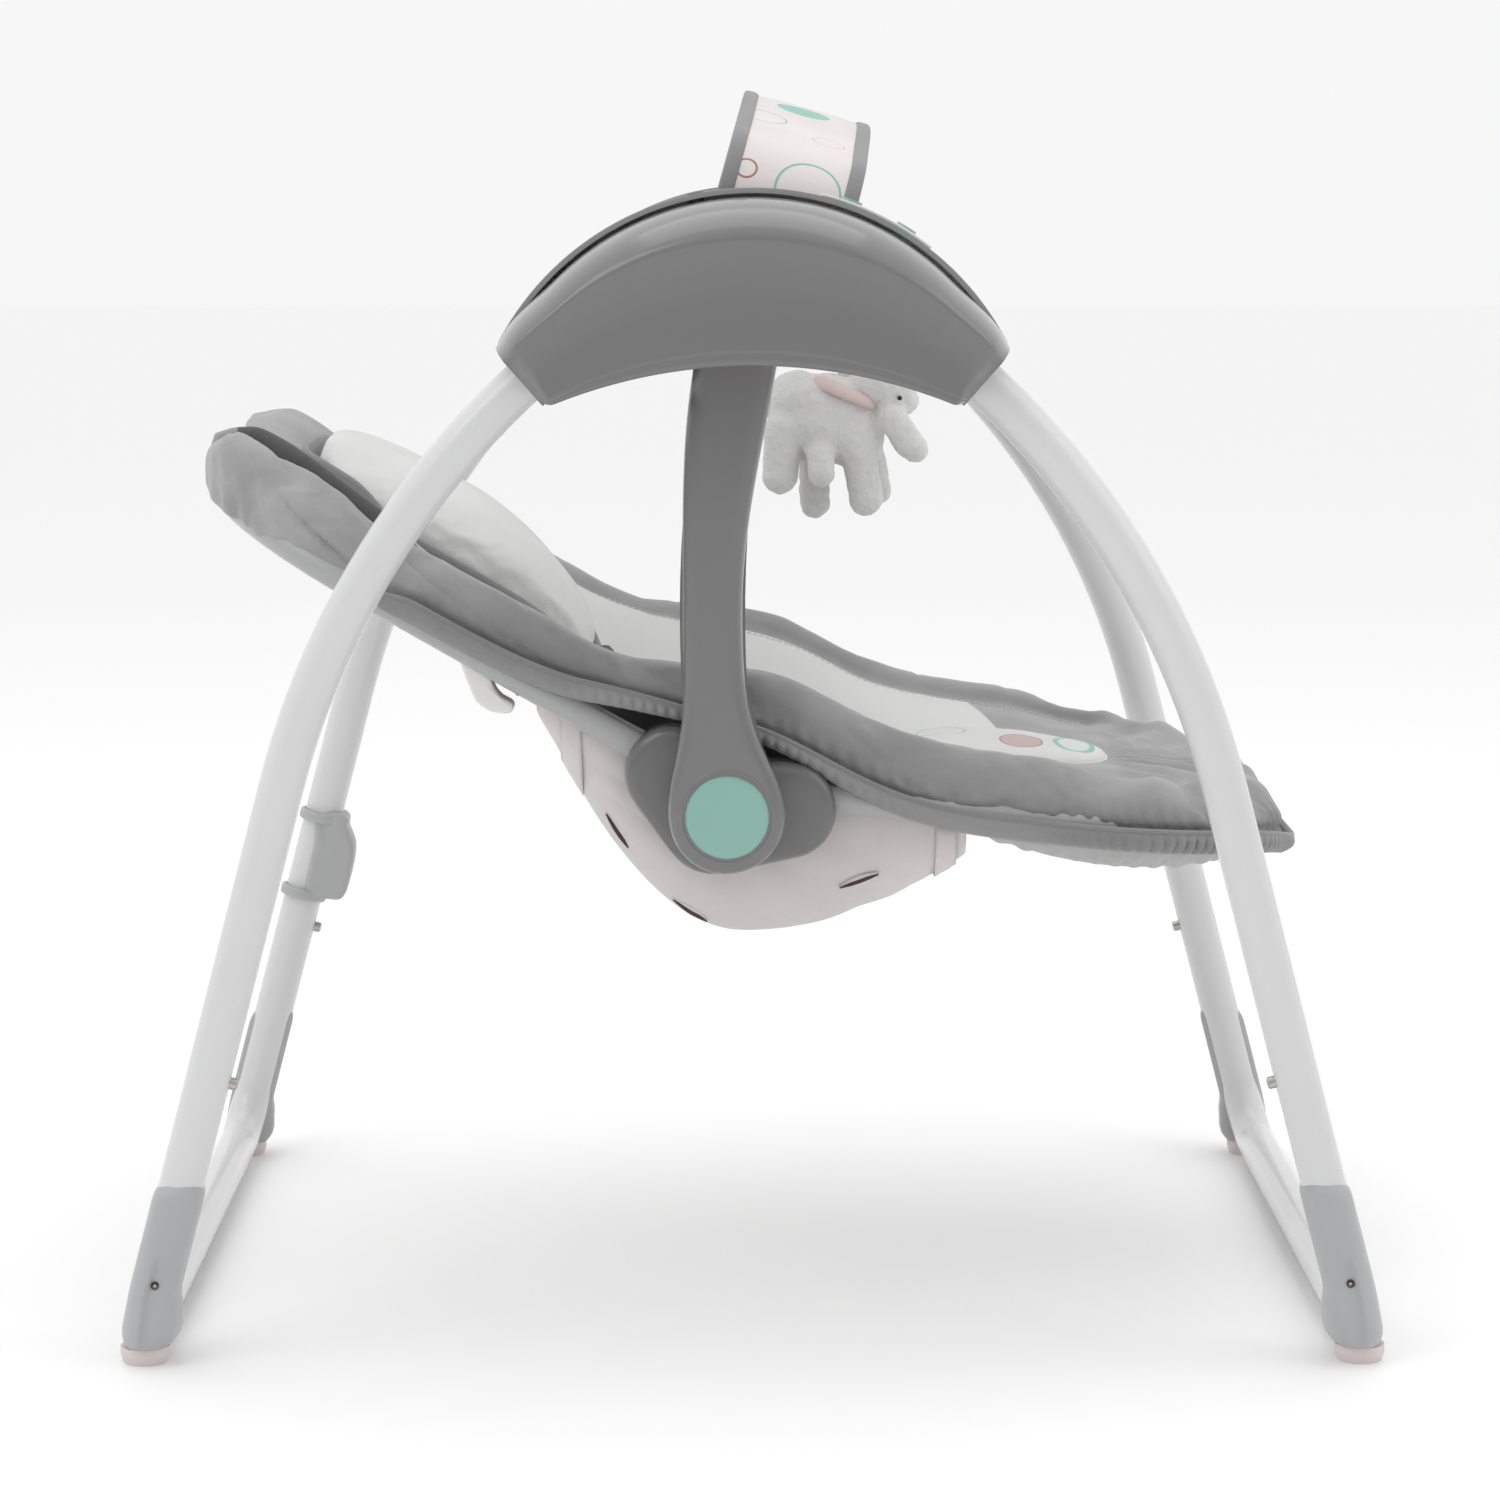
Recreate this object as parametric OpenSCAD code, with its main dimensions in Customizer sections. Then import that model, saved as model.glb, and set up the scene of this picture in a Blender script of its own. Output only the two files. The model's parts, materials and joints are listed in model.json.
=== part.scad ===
// Folding baby swing: two leg frames hinge in two top housings, the arms swing between
// the housings, and the seat reclines on the arms' lower ends. +X is the foot end, the
// near side is -Y, +Z is up and the origin is on the floor at the middle.

/* [Frame] */
// Distance between the centres of the near and far leg tubes
frame_w = 520; // [510:5:540]
// Half the distance between the front and rear floor tubes
foot_x = 345; // [335:5:360]
// Height of the floor tubes' centres
foot_z = 16; // [15:0.5:18]
// Outside diameter of the leg tubes
tube_d = 25.4; // [24:0.2:26]
// Wall thickness of the leg tubes
tube_wall = 1.2; // [1:0.1:1.6]
// Lean of the straight lower legs from vertical
leg_lean = 14.7; // [13:0.1:16]
// Length of a leg's straight part above the floor tube's centre
leg_straight = 320; // [300:5:340]
// Radius of the bend in the upper legs
leg_bend = 470; // [440:5:500]
// Angle of that bend up to the fold pivot
leg_bend_ang = 36.3; // [34:0.1:38]

/* [Housings] */
// Radius of the housings' curved top
top_r = 155; // [150:1:158]
// Height of that curve's centre
top_cz = 499; // [495:1:503]
// Wall thickness of the plastic shells
shell_wall = 3; // [2:0.5:3]
// Inner face of a housing, from the middle
house_in = 200; // [198:1:201]
// Joint face between a housing's inner and outer shell
house_mid = 243.6; // [243.4:0.1:244]
// Outer face of a housing
house_out = 296; // [292:1:300]

/* [Arms] */
// Height of the swing axis
axle_z = 605; // [600:1:608]
// Inner face of a swing arm
arm_in = 214; // [213.5:0.5:215]
// Outer face of a swing arm
arm_out = 242.6; // [240:0.2:242.6]
// Radius of the arms' gentle bow
arm_bow = 775; // [700:25:900]
// Width of an arm
arm_w = 37; // [34:1:40]
// Radius of the round lower end of an arm
arm_foot_r = 33; // [30:1:34]
// Radius of the round recline button
recline_r = 23.9; // [20:0.1:25]

/* [Seat] */
// Distance between the centres of the seat's side tubes
seat_w = 388; // [380:2:390]
// Diameter of the seat tubes
seat_tube_d = 16; // [14:1:18]
// Slope of the back tube in degrees
back_slope = 29.7; // [25:0.1:32]
// Slope of the leg rest tube in degrees
rest_slope = 5.7; // [4:0.1:8]
// Half width of the seat cover
cover_w = 207; // [204:1:209]
// Thickness of the seat cover's middle
cover_t = 14; // [10:1:16]

/* [Toy bar] */
// Width of the fabric strap
strap_w = 76; // [70:1:80]
// Height of the toy bar over its pivot
bar_h = 114; // [105:1:120]
// Lean of the toy bar towards the foot end
bar_lean = 15.7; // [5:0.1:20]

/* [Hidden] */

$fn = 64;
big_fn = 240;          // for the long curves
eps = 0.5;             // cutting overshoot

plastic = "#8d8f90";
plastic_light = "#a9abac";
mint = "#8fbdb0";
white_paint = "#f1f1f1";
steel = "#b9bbbd";
velour = "#9c9e9f";

// Leg geometry: a straight lower part and one bend up to the pivot.
leg_y = frame_w / 2;
tube_r = tube_d / 2;
bore_r = tube_r - tube_wall;
bend_x = foot_x - leg_straight * sin(leg_lean) - leg_bend * cos(leg_lean);
bend_z = foot_z + leg_straight * cos(leg_lean) - leg_bend * sin(leg_lean);
pivot_ang = leg_lean + leg_bend_ang;
pivot_x = bend_x + leg_bend * cos(pivot_ang);
pivot_z = bend_z + leg_bend * sin(pivot_ang);
seam_s = 124;          // along the leg from the floor tube: where lower and upper tube meet
neck_len = 48;         // the lower tube's necked end inside the upper tube
snap_s = 151;          // snap button
floor_bend = 40;       // bend between leg and floor crossbar
knuckle_gap = 3;       // degrees of bend between tube end and pivot
knuckle_ang = leg_bend_ang - knuckle_gap;
knuckle_r = 15;
cell_x = -94;          // outer ends of the battery cells
pin_r = 5;
axle_r = 6;
run = 0.05;            // radial clearance of a running fit

// Housing outline
low_r = 291;
low_cz = 272;
end_x = 139.6;
end_z = 571.5;
end_tilt = 36;
inner_rise = 5;        // the inner shell's top stands above the outer one
screw_at = [[62, 622], [118, 588]];
magnet_at = [-3, 578]; // the drive magnet and its coil face each other here
fold_at = [88, 590];   // fold release button

// Arm geometry: an arc from the hub pivot to the swing axle
hub_x = -14.4;
hub_z = 306.9;
chord = sqrt(hub_x * hub_x + (axle_z - hub_z) * (axle_z - hub_z));
chord_dir = [-hub_x / chord, (axle_z - hub_z) / chord];
bow_reach = sqrt(arm_bow * arm_bow - chord * chord / 4);
bow_c = [hub_x / 2 + chord_dir[1] * bow_reach, (hub_z + axle_z) / 2 - chord_dir[0] * bow_reach];
arm_head_r = 22;
bush_r = 9;
hub_pin_r = 8;

// Seat geometry
seat_y = seat_w / 2;
seat_r = seat_tube_d / 2;
back_at = [-45, 329.4];
rest_at = [20, 313];
back_bend = 100;
back_len = 200;
rest_bend = 137;
rest_len = 145;
head_x = -326;
tip_x = 334;
head_corner = 110;
tip_corner = 150;

// Soft surfaces of the seat, as heights over x (length) and y (width)
function soft(t) = t <= 0 ? 0 : t >= 1 ? 1 : t * t * (3 - 2 * t);
function lerp(a, b, t) = a + (b - a) * t;
function back_line(x) = back_at[1] - (x - back_at[0]) * tan(back_slope);
function rest_line(x) = rest_at[1] - (x - rest_at[0]) * tan(rest_slope);
function droop(x) = x < 270 ? 0 : 22 * pow((x - 270) / 64, 2);
function tube_line(x) =
    let (a = back_line(x), b = rest_line(x), k = 8)
    k * ln(exp((a - 300) / k) + exp((b - 300) / k)) + 300;
function base_line(x) = tube_line(x) - droop(x);
function rim(x) = base_line(x) + 38 * exp(-pow((x + 10) / 75, 2)) + 12 * soft((-200 - x) / 80);
function bolster(x) = 24 + 14 * soft((-60 - x) / 80);
function hem(x) = 10 - 6 * exp(-pow((x + 20) / 65, 2));
function seat_lift(x) = 30 - 16 * soft((x - 40) / 120);
function middle(x) = base_line(x) + seat_lift(x) - 100 * exp(-pow((x + 5) / 80, 2));
function corner_w(r, d) = cover_w - r + sqrt(max(0, r * r - d * d));
function half_w(x) =
    x < head_x + head_corner ? corner_w(head_corner, head_x + head_corner - x)
    : x > tip_x - tip_corner ? corner_w(tip_corner, x - tip_x + tip_corner)
    : cover_w;
// Height of the cover's top at a share v of the half width
function cover_bowl(x, v) = lerp(middle(x), rim(x) + bolster(x) * 0.75, soft((v - 0.25) / 0.6));
function cover_top(x, v) = lerp(cover_bowl(x, v), rim(x) + bolster(x), soft((v - 0.8) / 0.1));
function under_sling(x) = 226.5 + pow(x + 4, 2) * (x < -4 ? 0.0093 : 0.003);

// ---------- helpers ----------
module far() { children(); }
module near() { mirror([0, 1, 0]) children(); }
module both_sides() { far() children(); near() children(); }
module front() { children(); }
module rear() { mirror([1, 0, 0]) children(); }

// A flat outline in X and Z, extruded from y0 to y1
module along_y(y0, y1) { translate([0, y1, 0]) rotate([90, 0, 0]) linear_extrude(y1 - y0) children(); }
module rod_y(x, z, r, y0, y1) {
    translate([x, y1, z]) rotate([90, 0, 0]) cylinder(r = r, h = y1 - y0);
}
module ring_y(x, z, r, bore, y0, y1) {
    difference() {
        rod_y(x, z, r, y0, y1);
        rod_y(x, z, bore, y0 - eps, y1 + eps);
    }
}

// The leg's own frame: +Z runs up the straight lower leg, the bend is towards -X
module in_leg() { translate([foot_x, 0, foot_z]) rotate([0, -leg_lean, 0]) children(); }
// A round bar along the bend, from angle a0 to a1 past its start
module bend_bar(r, y, a0, a1) {
    translate([-leg_bend, y, leg_straight]) rotate([90, 0, 0]) rotate([0, 0, a0])
        rotate_extrude(angle = a1 - a0, $fn = big_fn) translate([leg_bend, 0]) circle(r = r, $fn = 64);
}

// A closed skin through rings of points that all have the same even count. The first half of
// a ring lies over the second half, so each end is closed by a strip between the halves.
module loft(rings) {
    n = len(rings);
    m = len(rings[0]);
    sides = [for (i = [0 : n - 2], j = [0 : m - 1]) let (k = (j + 1) % m)
        each [[i * m + j, i * m + k, (i + 1) * m + k], [i * m + j, (i + 1) * m + k, (i + 1) * m + j]]];
    strip = [for (j = [0 : m / 2 - 2]) each [[j, j + 1, m - 2 - j], [j, m - 2 - j, m - 1 - j]]];
    start_cap = [for (t = strip) [t[2], t[1], t[0]]];
    end_cap = [for (t = strip) [for (j = t) (n - 1) * m + j]];
    polyhedron(points = [for (r = rings) each r], faces = concat(start_cap, sides, end_cap));
}

// A bent tube in a U: two legs along +X at y = +-half, then corners into a crossbar
module u_bar(r, half, length, bend, open) {
    for (s = [-1, 1]) {
        translate([-open, s * half, 0]) rotate([0, 90, 0]) cylinder(r = r, h = length + open);
        translate([length, s * (half - bend), 0]) rotate([0, 0, s > 0 ? 0 : -90])
            rotate_extrude(angle = 90, $fn = 128) translate([bend, 0]) circle(r = r);
    }
    translate([length + bend, half - bend, 0]) rotate([90, 0, 0]) cylinder(r = r, h = 2 * (half - bend));
}

// ---------- top housings ----------
// Side view of a housing: a curved top, an arched lower edge and two slanted ends
module crescent(r) {
    intersection() {
        difference() {
            translate([0, top_cz]) circle(r = r, $fn = big_fn);
            translate([0, low_cz]) circle(r = low_r, $fn = big_fn);
        }
        translate([end_x, end_z]) rotate(-end_tilt) translate([-400, -200]) square(400);
        mirror([1, 0]) translate([end_x, end_z]) rotate(-end_tilt) translate([-400, -200]) square(400);
        translate([-200, 520]) square([400, 200]);
    }
}

module screw_posts(r, y0, y1) {
    for (p = screw_at, s = [-1, 1]) rod_y(s * p[0], p[1], r, y0, y1);
}

module housing_outer() {
    difference() {
        union() {
            difference() {
                along_y(house_mid, house_out) crescent(top_r);
                along_y(house_mid - eps, house_out - shell_wall)
                    translate([0, top_cz]) circle(r = top_r - shell_wall, $fn = big_fn);
            }
            screw_posts(4.5, house_mid, house_out - 1);
            for (s = [-1, 1]) rod_y(s * pivot_x, pivot_z, 9, leg_y + 14.5, house_out - 1);
            rod_y(0, axle_z, 11, 262, house_out - 1);
            rod_y(magnet_at[0], magnet_at[1], 4.9, 246, house_out - 1);
        }
        screw_posts(1.55, house_mid - eps, 264);
        for (s = [-1, 1]) rod_y(s * pivot_x, pivot_z, pin_r + 0.02, leg_y + 10, house_out - 4);
        rod_y(0, axle_z, axle_r + 0.02, 250, house_out - 4);
    }
}

module housing_inner(has_panel) {
    r = top_r + inner_rise;
    difference() {
        union() {
            difference() {
                along_y(house_in, house_mid) crescent(r);
                along_y(house_in + shell_wall, house_mid + eps)
                    translate([0, top_cz]) circle(r = r - shell_wall, $fn = big_fn);
            }
            screw_posts(4.5, house_in, house_mid);
            for (s = [-1, 1]) rod_y(s * pivot_x, pivot_z, 9, house_in, 245.6);
            rod_y(0, axle_z, 10, house_in, arm_in - 0.8);
            rod_y(4, 596, 6, house_in - 13.5, house_in + 1);
        }
        screw_posts(1.7, house_in - eps, house_mid + eps);
        screw_posts(3.7, house_in - eps, house_in + 4);
        for (s = [-1, 1]) rod_y(s * pivot_x, pivot_z, pin_r + 0.02, house_in + 3, 260);
        rod_y(0, axle_z, axle_r + 0.02, house_in + 3, arm_in);
        rod_y(fold_at[0], fold_at[1], 8.2, house_in - eps, house_in + shell_wall + eps);
        if (has_panel) {
            translate([cell_x - 4, house_in - 2, 567]) cube([58, shell_wall + 4, 36]);
            radial(101.5, 236) cylinder(r = 4.6, h = 20, center = true);
            for (a = [58, 70]) radial(a, 222) cylinder(r = 6.3, h = 20, center = true);
        }
    }
}

// A frame on the inner shell's curved top: +Z points straight out of it
module radial(ang, y) {
    translate([0, y, top_cz]) rotate([0, 90 - ang, 0]) translate([0, 0, top_r + inner_rise]) children();
}

module housing_outer_near() { color(plastic) near() housing_outer(); }
module housing_outer_far() { color(plastic) far() housing_outer(); }
module housing_inner_near() { color(plastic_light) near() housing_inner(true); }
module housing_inner_far() { color(plastic_light) far() housing_inner(false); }

module housing_screws() {
    color(steel) both_sides() for (p = screw_at, s = [-1, 1]) {
        rod_y(s * p[0], p[1], 3.4, house_in + 1.5, house_in + 4);
        rod_y(s * p[0], p[1], 1.5, house_in + 4, 262);
    }
}

module swing_axles() { color(steel) both_sides() rod_y(0, axle_z, axle_r, house_in + 3, house_out - 4); }

module leg_pivot_pins() {
    color(steel) both_sides() for (s = [-1, 1])
        rod_y(s * pivot_x, pivot_z, pin_r, house_in + 3, house_out - 4);
}

module control_board() {
    color("darkgreen") near() {
        translate([32, 214, 594]) cube([54, 1.6, 19]);
        for (x = [38, 54, 70]) translate([x, 215.6, 598]) cube([10, 3, 10]);
    }
}

module drive_coil() { color("#b5743a") near() ring_y(magnet_at[0], magnet_at[1], 13.5, 5, 246, 262); }
module drive_magnet() { color("#777") near() rod_y(magnet_at[0], magnet_at[1], 6, 232, 239.4); }

// Four cells, two by two, lying along the housing
module battery_cells() {
    color("#c8a24a") near() for (i = [0, 1], j = [0, 1]) {
        translate([cell_x, 213.6 + i * 14.8, 577.5 + j * 14.8]) rotate([0, 90, 0]) {
            cylinder(r = 7.2, h = 49);
            translate([0, 0, 49]) cylinder(r = 2.7, h = 1.2);
        }
    }
}

module battery_door() {
    color(plastic_light) near() difference() {
        union() {
            translate([cell_x - 3.7, house_in + 0.1, 567.3]) cube([57.4, 2.6, 35.4]);
            translate([cell_x + 19, house_in - 0.5, 571]) cube([12, 1, 5]);
        }
        for (i = [0 : 3]) translate([cell_x + 17, house_in - eps, 580 + i * 5]) cube([16, 1.3, 1.6]);
    }
}

// The panel hugs the inner shell's curved top
module control_panel() {
    r = top_r + inner_rise;
    color(white_paint) near() difference() {
        translate([0, 238, top_cz]) rotate([90, 0, 0]) rotate([0, 0, 52]) linear_extrude(32)
            difference() {
                intersection() {
                    circle(r = r + 1.6, $fn = big_fn);
                    polygon([[0, 0], [200, 0], [200, 200], [200 * cos(24), 200 * sin(24)]]);
                    rotate(24 - 90) translate([0, -300]) square(600);
                }
                circle(r = r, $fn = big_fn);
            }
        for (a = [58, 70]) radial(a, 222) cylinder(r = 6.3, h = 20, center = true);
    }
}

module panel_button(ang) {
    near() radial(ang, 222) translate([0, 0, -4.3]) {
        cylinder(r = 6, h = 7.3);
        cylinder(r = 7.6, h = 0.9);
    }
}
module speed_button() { color(mint) panel_button(70); }
module melody_button() { color(mint) panel_button(58); }

module dc_jack() {
    color("#2b2b2b") near() radial(101.5, 236) difference() {
        translate([0, 0, -12]) cylinder(r = 4.4, h = 12.2);
        translate([0, 0, -9]) cylinder(r = 2.75, h = 10);
    }
}

module fold_button() {
    rod_y(fold_at[0], fold_at[1], 8, house_in - 2.5, house_in + 3.5);
    rod_y(fold_at[0], fold_at[1], 9.5, house_in + 3.2, house_in + 4.8);
}
module fold_button_near() { color(mint) near() fold_button(); }
module fold_button_far() { color(mint) far() fold_button(); }

// ---------- leg frames ----------
// Upper leg tube, from the seam up to just below the pivot
module upper_leg() {
    in_leg() difference() {
        union() {
            translate([0, leg_y, seam_s]) cylinder(r = tube_r, h = leg_straight - seam_s);
            bend_bar(tube_r, leg_y, 0, knuckle_ang);
        }
        translate([0, leg_y, seam_s - eps]) cylinder(r = bore_r, h = leg_straight - seam_s + eps + 0.01);
        bend_bar(bore_r, leg_y, 0, knuckle_ang + 0.2);
        translate([0, leg_y, snap_s]) rotate([0, -90, 0]) cylinder(r = 3.6, h = 20);
    }
}

// A knuckle plugs into the tube's end and turns on the pivot pin
module knuckle() {
    difference() {
        union() {
            in_leg() bend_bar(bore_r - run, leg_y, knuckle_ang - 3, knuckle_ang + 0.01);
            in_leg() bend_bar(tube_r, leg_y, knuckle_ang, leg_bend_ang);
            rod_y(pivot_x, pivot_z, knuckle_r, leg_y - 12, leg_y + 12);
        }
        rod_y(pivot_x, pivot_z, pin_r + run, leg_y - 13, leg_y + 13);
    }
}

// The lower frame as a solid bar, hung from the seam
module hanging_u(r) {
    translate([0, 0, seam_s]) rotate([0, 90, 0]) u_bar(r, leg_y, seam_s - floor_bend, floor_bend, 0);
}

// The lower tube: both legs up to the seam, with necks, and the crossbar on the floor
module base_tube() {
    difference() {
        in_leg() difference() {
            union() {
                hanging_u(tube_r);
                for (s = [-1, 1])
                    translate([0, s * leg_y, seam_s - 4]) cylinder(r = bore_r - run, h = neck_len + 4);
            }
            hanging_u(bore_r - 1.2);
            for (s = [-1, 1]) {
                translate([0, s * leg_y, seam_s - 1]) cylinder(r = bore_r - 1.2, h = neck_len + 2);
                translate([0, s * leg_y, snap_s]) rotate([0, -90, 0]) cylinder(r = 3.6, h = 20);
            }
        }
        both_sides() foot_screw_hole(1.8);
    }
}

module foot_screw_hole(r) { rod_y(foot_x - 8.7, 49, r, leg_y + 5, house_out); }

// A half-shell boot over the outer side of the tube's corner
module foot_cover() {
    difference() {
        hull() {
            rod_y(324.4, 90, 12.5, leg_y - 3, leg_y + 18);
            rod_y(333, 24, 12.5, leg_y - 5, leg_y + 24);
            rod_y(346, 22, 12.5, leg_y - 5, leg_y + 30);
            rod_y(328, 60, 11, leg_y - 3, leg_y + 22);
        }
        in_leg() hanging_u(tube_r + 0.1);
        foot_screw_hole(1.9);
        rod_y(foot_x - 8.7, 49, 3.2, leg_y + 18.5, house_out);
    }
}

module foot_pad() {
    translate([344, leg_y + 6, 0]) difference() {
        union() {
            cylinder(r1 = 12.5, r2 = 14, h = 5);
            translate([0, 0, 5]) cylinder(r = 14, h = 4.5);
        }
        for (a = [0 : 60 : 300]) rotate([0, 0, a]) translate([8, 0, -1]) cylinder(r = 1.2, h = 1.8);
    }
}

module foot_screw() {
    rod_y(foot_x - 8.7, 49, 3, leg_y + 18.6, leg_y + 20.4);
    rod_y(foot_x - 8.7, 49, 1.7, leg_y + 8, leg_y + 18.6);
}

// Spring button: a round stem through both tube walls, held by its flange inside the neck
module snap_button() {
    in_leg() translate([0, leg_y, snap_s]) rotate([0, -90, 0]) {
        translate([0, 0, 8]) cylinder(r = 3.5, h = 8.4);
        translate([0, 0, 16.4]) cylinder(r1 = 3.5, r2 = 2.2, h = 0.8);
        translate([0, 0, 6.4]) cylinder(r = 4.6, h = 1.6);
    }
}

module front_leg_near() { color(white_paint) front() near() upper_leg(); }
module front_leg_far() { color(white_paint) front() far() upper_leg(); }
module rear_leg_near() { color(white_paint) rear() near() upper_leg(); }
module rear_leg_far() { color(white_paint) rear() far() upper_leg(); }
module front_base_tube() { color(white_paint) front() base_tube(); }
module rear_base_tube() { color(white_paint) rear() base_tube(); }
module front_knuckles() { color("#555") front() both_sides() knuckle(); }
module rear_knuckles() { color("#555") rear() both_sides() knuckle(); }
module front_foot_near() { color(plastic_light) front() near() foot_cover(); }
module front_foot_far() { color(plastic_light) front() far() foot_cover(); }
module rear_foot_near() { color(plastic_light) rear() near() foot_cover(); }
module rear_foot_far() { color(plastic_light) rear() far() foot_cover(); }
module front_foot_pads() { color("#e9dcda") front() both_sides() foot_pad(); }
module rear_foot_pads() { color("#e9dcda") rear() both_sides() foot_pad(); }
module front_foot_screws() { color(steel) front() both_sides() foot_screw(); }
module rear_foot_screws() { color(steel) rear() both_sides() foot_screw(); }
module snap_front_near() { color(steel) front() near() snap_button(); }
module snap_front_far() { color(steel) front() far() snap_button(); }
module snap_rear_near() { color(steel) rear() near() snap_button(); }
module snap_rear_far() { color(steel) rear() far() snap_button(); }

// Clip that holds the folded front leg: two bands round the rear tube and a grooved block
module storage_clip() {
    color(plastic_light) rear() far() in_leg() translate([0, leg_y, 172]) difference() {
        union() {
            cylinder(r = tube_r + 2.6, h = 58);
            translate([-27, -14, 2]) cube([20, 28, 54]);
        }
        translate([0, 0, -1]) cylinder(r = tube_r + 0.05, h = 60);
        translate([-2, -20, 7]) cube([40, 40, 44]);
        translate([-31, 0, -1]) cylinder(r = tube_r + 0.1, h = 60);
    }
}

// ---------- swing arms ----------
// An arm from y0 to y1, made smaller all round by t: bow, head, round foot and the flare above it
module arm_body(y0, y1, t) {
    along_y(y0, y1) intersection() {
        difference() {
            translate(bow_c) circle(r = arm_bow + arm_w / 2 - t, $fn = 720);
            translate(bow_c) circle(r = arm_bow - arm_w / 2 + t, $fn = 720);
        }
        translate([-80, hub_z]) square([100, axle_z - hub_z]);
    }
    rod_y(hub_x, hub_z, arm_foot_r - t, y0, y1);
    rod_y(0, axle_z, arm_head_r - t, y0, y1);
    along_y(y0, y1) polygon([
        [hub_x - 20 + t, 380], [hub_x + 10.5 - t, 380], [hub_x + 25 - t, 326], [hub_x - 27 + t, 326]]);
}

module swing_arm() {
    difference() {
        arm_body(arm_in + 3, arm_out, 0);
        difference() {
            arm_body(arm_in + 2, arm_out - shell_wall, shell_wall);
            rod_y(0, axle_z, bush_r + 3, arm_in, arm_out + 1);
            rod_y(hub_x, hub_z, recline_r + 2, arm_in, arm_out + 1);
            rod_y(magnet_at[0], magnet_at[1], 7.5, arm_in, arm_out + 1);
        }
        rod_y(0, axle_z, bush_r + 0.02, arm_in, arm_out + 1);
        rod_y(hub_x, hub_z, recline_r + 0.3, 226, arm_out + 1);
        rod_y(hub_x, hub_z, hub_pin_r + run, arm_in, 227);
        rod_y(magnet_at[0], magnet_at[1], 6.05, 231, arm_out - shell_wall);
    }
}
module swing_arm_near() { color(plastic) near() swing_arm(); }
module swing_arm_far() { color(plastic) far() swing_arm(); }

module arm_covers() {
    color(plastic) both_sides() difference() {
        arm_body(arm_in, arm_in + 2.9, 0);
        rod_y(0, axle_z, bush_r + 0.02, arm_in - 1, arm_out);
        rod_y(hub_x, hub_z, hub_pin_r + run, arm_in - 1, arm_out);
    }
}

module arm_bushings() {
    color("#e8e2c8") both_sides() ring_y(0, axle_z, bush_r, axle_r + run, arm_in + 0.1, arm_out - 0.1);
}

module recline_button() {
    rod_y(hub_x, hub_z, recline_r, 230.6, arm_out);
    rod_y(hub_x, hub_z, recline_r - 2, arm_out, arm_out + 0.8);
}
module recline_button_near() { color(mint) near() recline_button(); }
module recline_button_far() { color(mint) far() recline_button(); }

// ---------- seat frame ----------
module in_back() {
    translate([back_at[0], 0, back_at[1]]) rotate([0, back_slope, 0]) mirror([1, 0, 0]) children();
}
module in_rest() { translate([rest_at[0], 0, rest_at[1]]) rotate([0, rest_slope, 0]) children(); }

module hub() {
    difference() {
        along_y(186, 213) hull() {
            translate([-45, 327]) circle(r = 28, $fn = 48);
            translate([20, 306]) circle(r = 28, $fn = 48);
            translate([-22, 299]) circle(r = 30, $fn = 48);
        }
        in_back() translate([0, seat_y, 0]) rotate([0, 90, 0]) cylinder(r = seat_r + run, h = 60);
        in_rest() translate([0, seat_y, 0]) rotate([0, 90, 0]) cylinder(r = seat_r + run, h = 60);
        rod_y(hub_x, hub_z, hub_pin_r + 0.02, 203, 214);
    }
}
module hub_near() { color("#6f7173") near() hub(); }
module hub_far() { color("#6f7173") far() hub(); }
module hub_pins() { color(steel) both_sides() rod_y(hub_x, hub_z, hub_pin_r, 203, 225.6); }

module back_tube() {
    color("#c9cbcc") in_back() difference() {
        translate([0.2, 0, 0]) u_bar(seat_r, seat_y, back_len, back_bend, 0);
        translate([0.2, 0, 0]) u_bar(seat_r - 1.2, seat_y, back_len, back_bend, 1);
    }
}
module leg_rest_tube() {
    color("#c9cbcc") in_rest() difference() {
        translate([0.2, 0, 0]) u_bar(seat_r, seat_y, rest_len, rest_bend, 0);
        translate([0.2, 0, 0]) u_bar(seat_r - 1.2, seat_y, rest_len, rest_bend, 1);
    }
}

// ---------- soft parts of the seat ----------
// Mirrors a half section given from the outer edge inwards: top first, then underside
function section(x, top, under) =
    let (t = [for (p = top) [x, p[0], p[1]]], u = [for (p = under) [x, p[0], p[1]]])
    concat([for (p = t) [x, -p[1], p[2]]], [for (i = [len(t) - 2 : -1 : 0]) t[i]],
        u, [for (i = [len(u) - 2 : -1 : 0]) [x, -u[i][1], u[i][2]]]);

function cover_section(x) =
    let (w = half_w(x), r = rim(x), b = bolster(x), h = hem(x), m = middle(x))
    section(x,
        [[w * 0.995, r - h * 0.8], [w, r], [w * 0.965, r + b * 0.65], [w * 0.9, r + b],
         [w * 0.8, cover_top(x, 0.8)], [w * 0.65, cover_top(x, 0.65)], [w * 0.5, cover_top(x, 0.5)],
         [w * 0.35, cover_top(x, 0.35)], [0, m]],
        [[w * 0.985, r - h], [w * 0.95, r - h - 0.5], [w * 0.9, r - h - 0.5], [w * 0.83, r - h],
         [w * 0.74, min(cover_top(x, 0.74) - cover_t, r - h)],
         [w * 0.65, min(cover_top(x, 0.65) - cover_t, r - h)],
         [w * 0.5, cover_top(x, 0.5) - cover_t], [w * 0.35, cover_top(x, 0.35) - cover_t], [0, m - cover_t]]);

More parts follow.
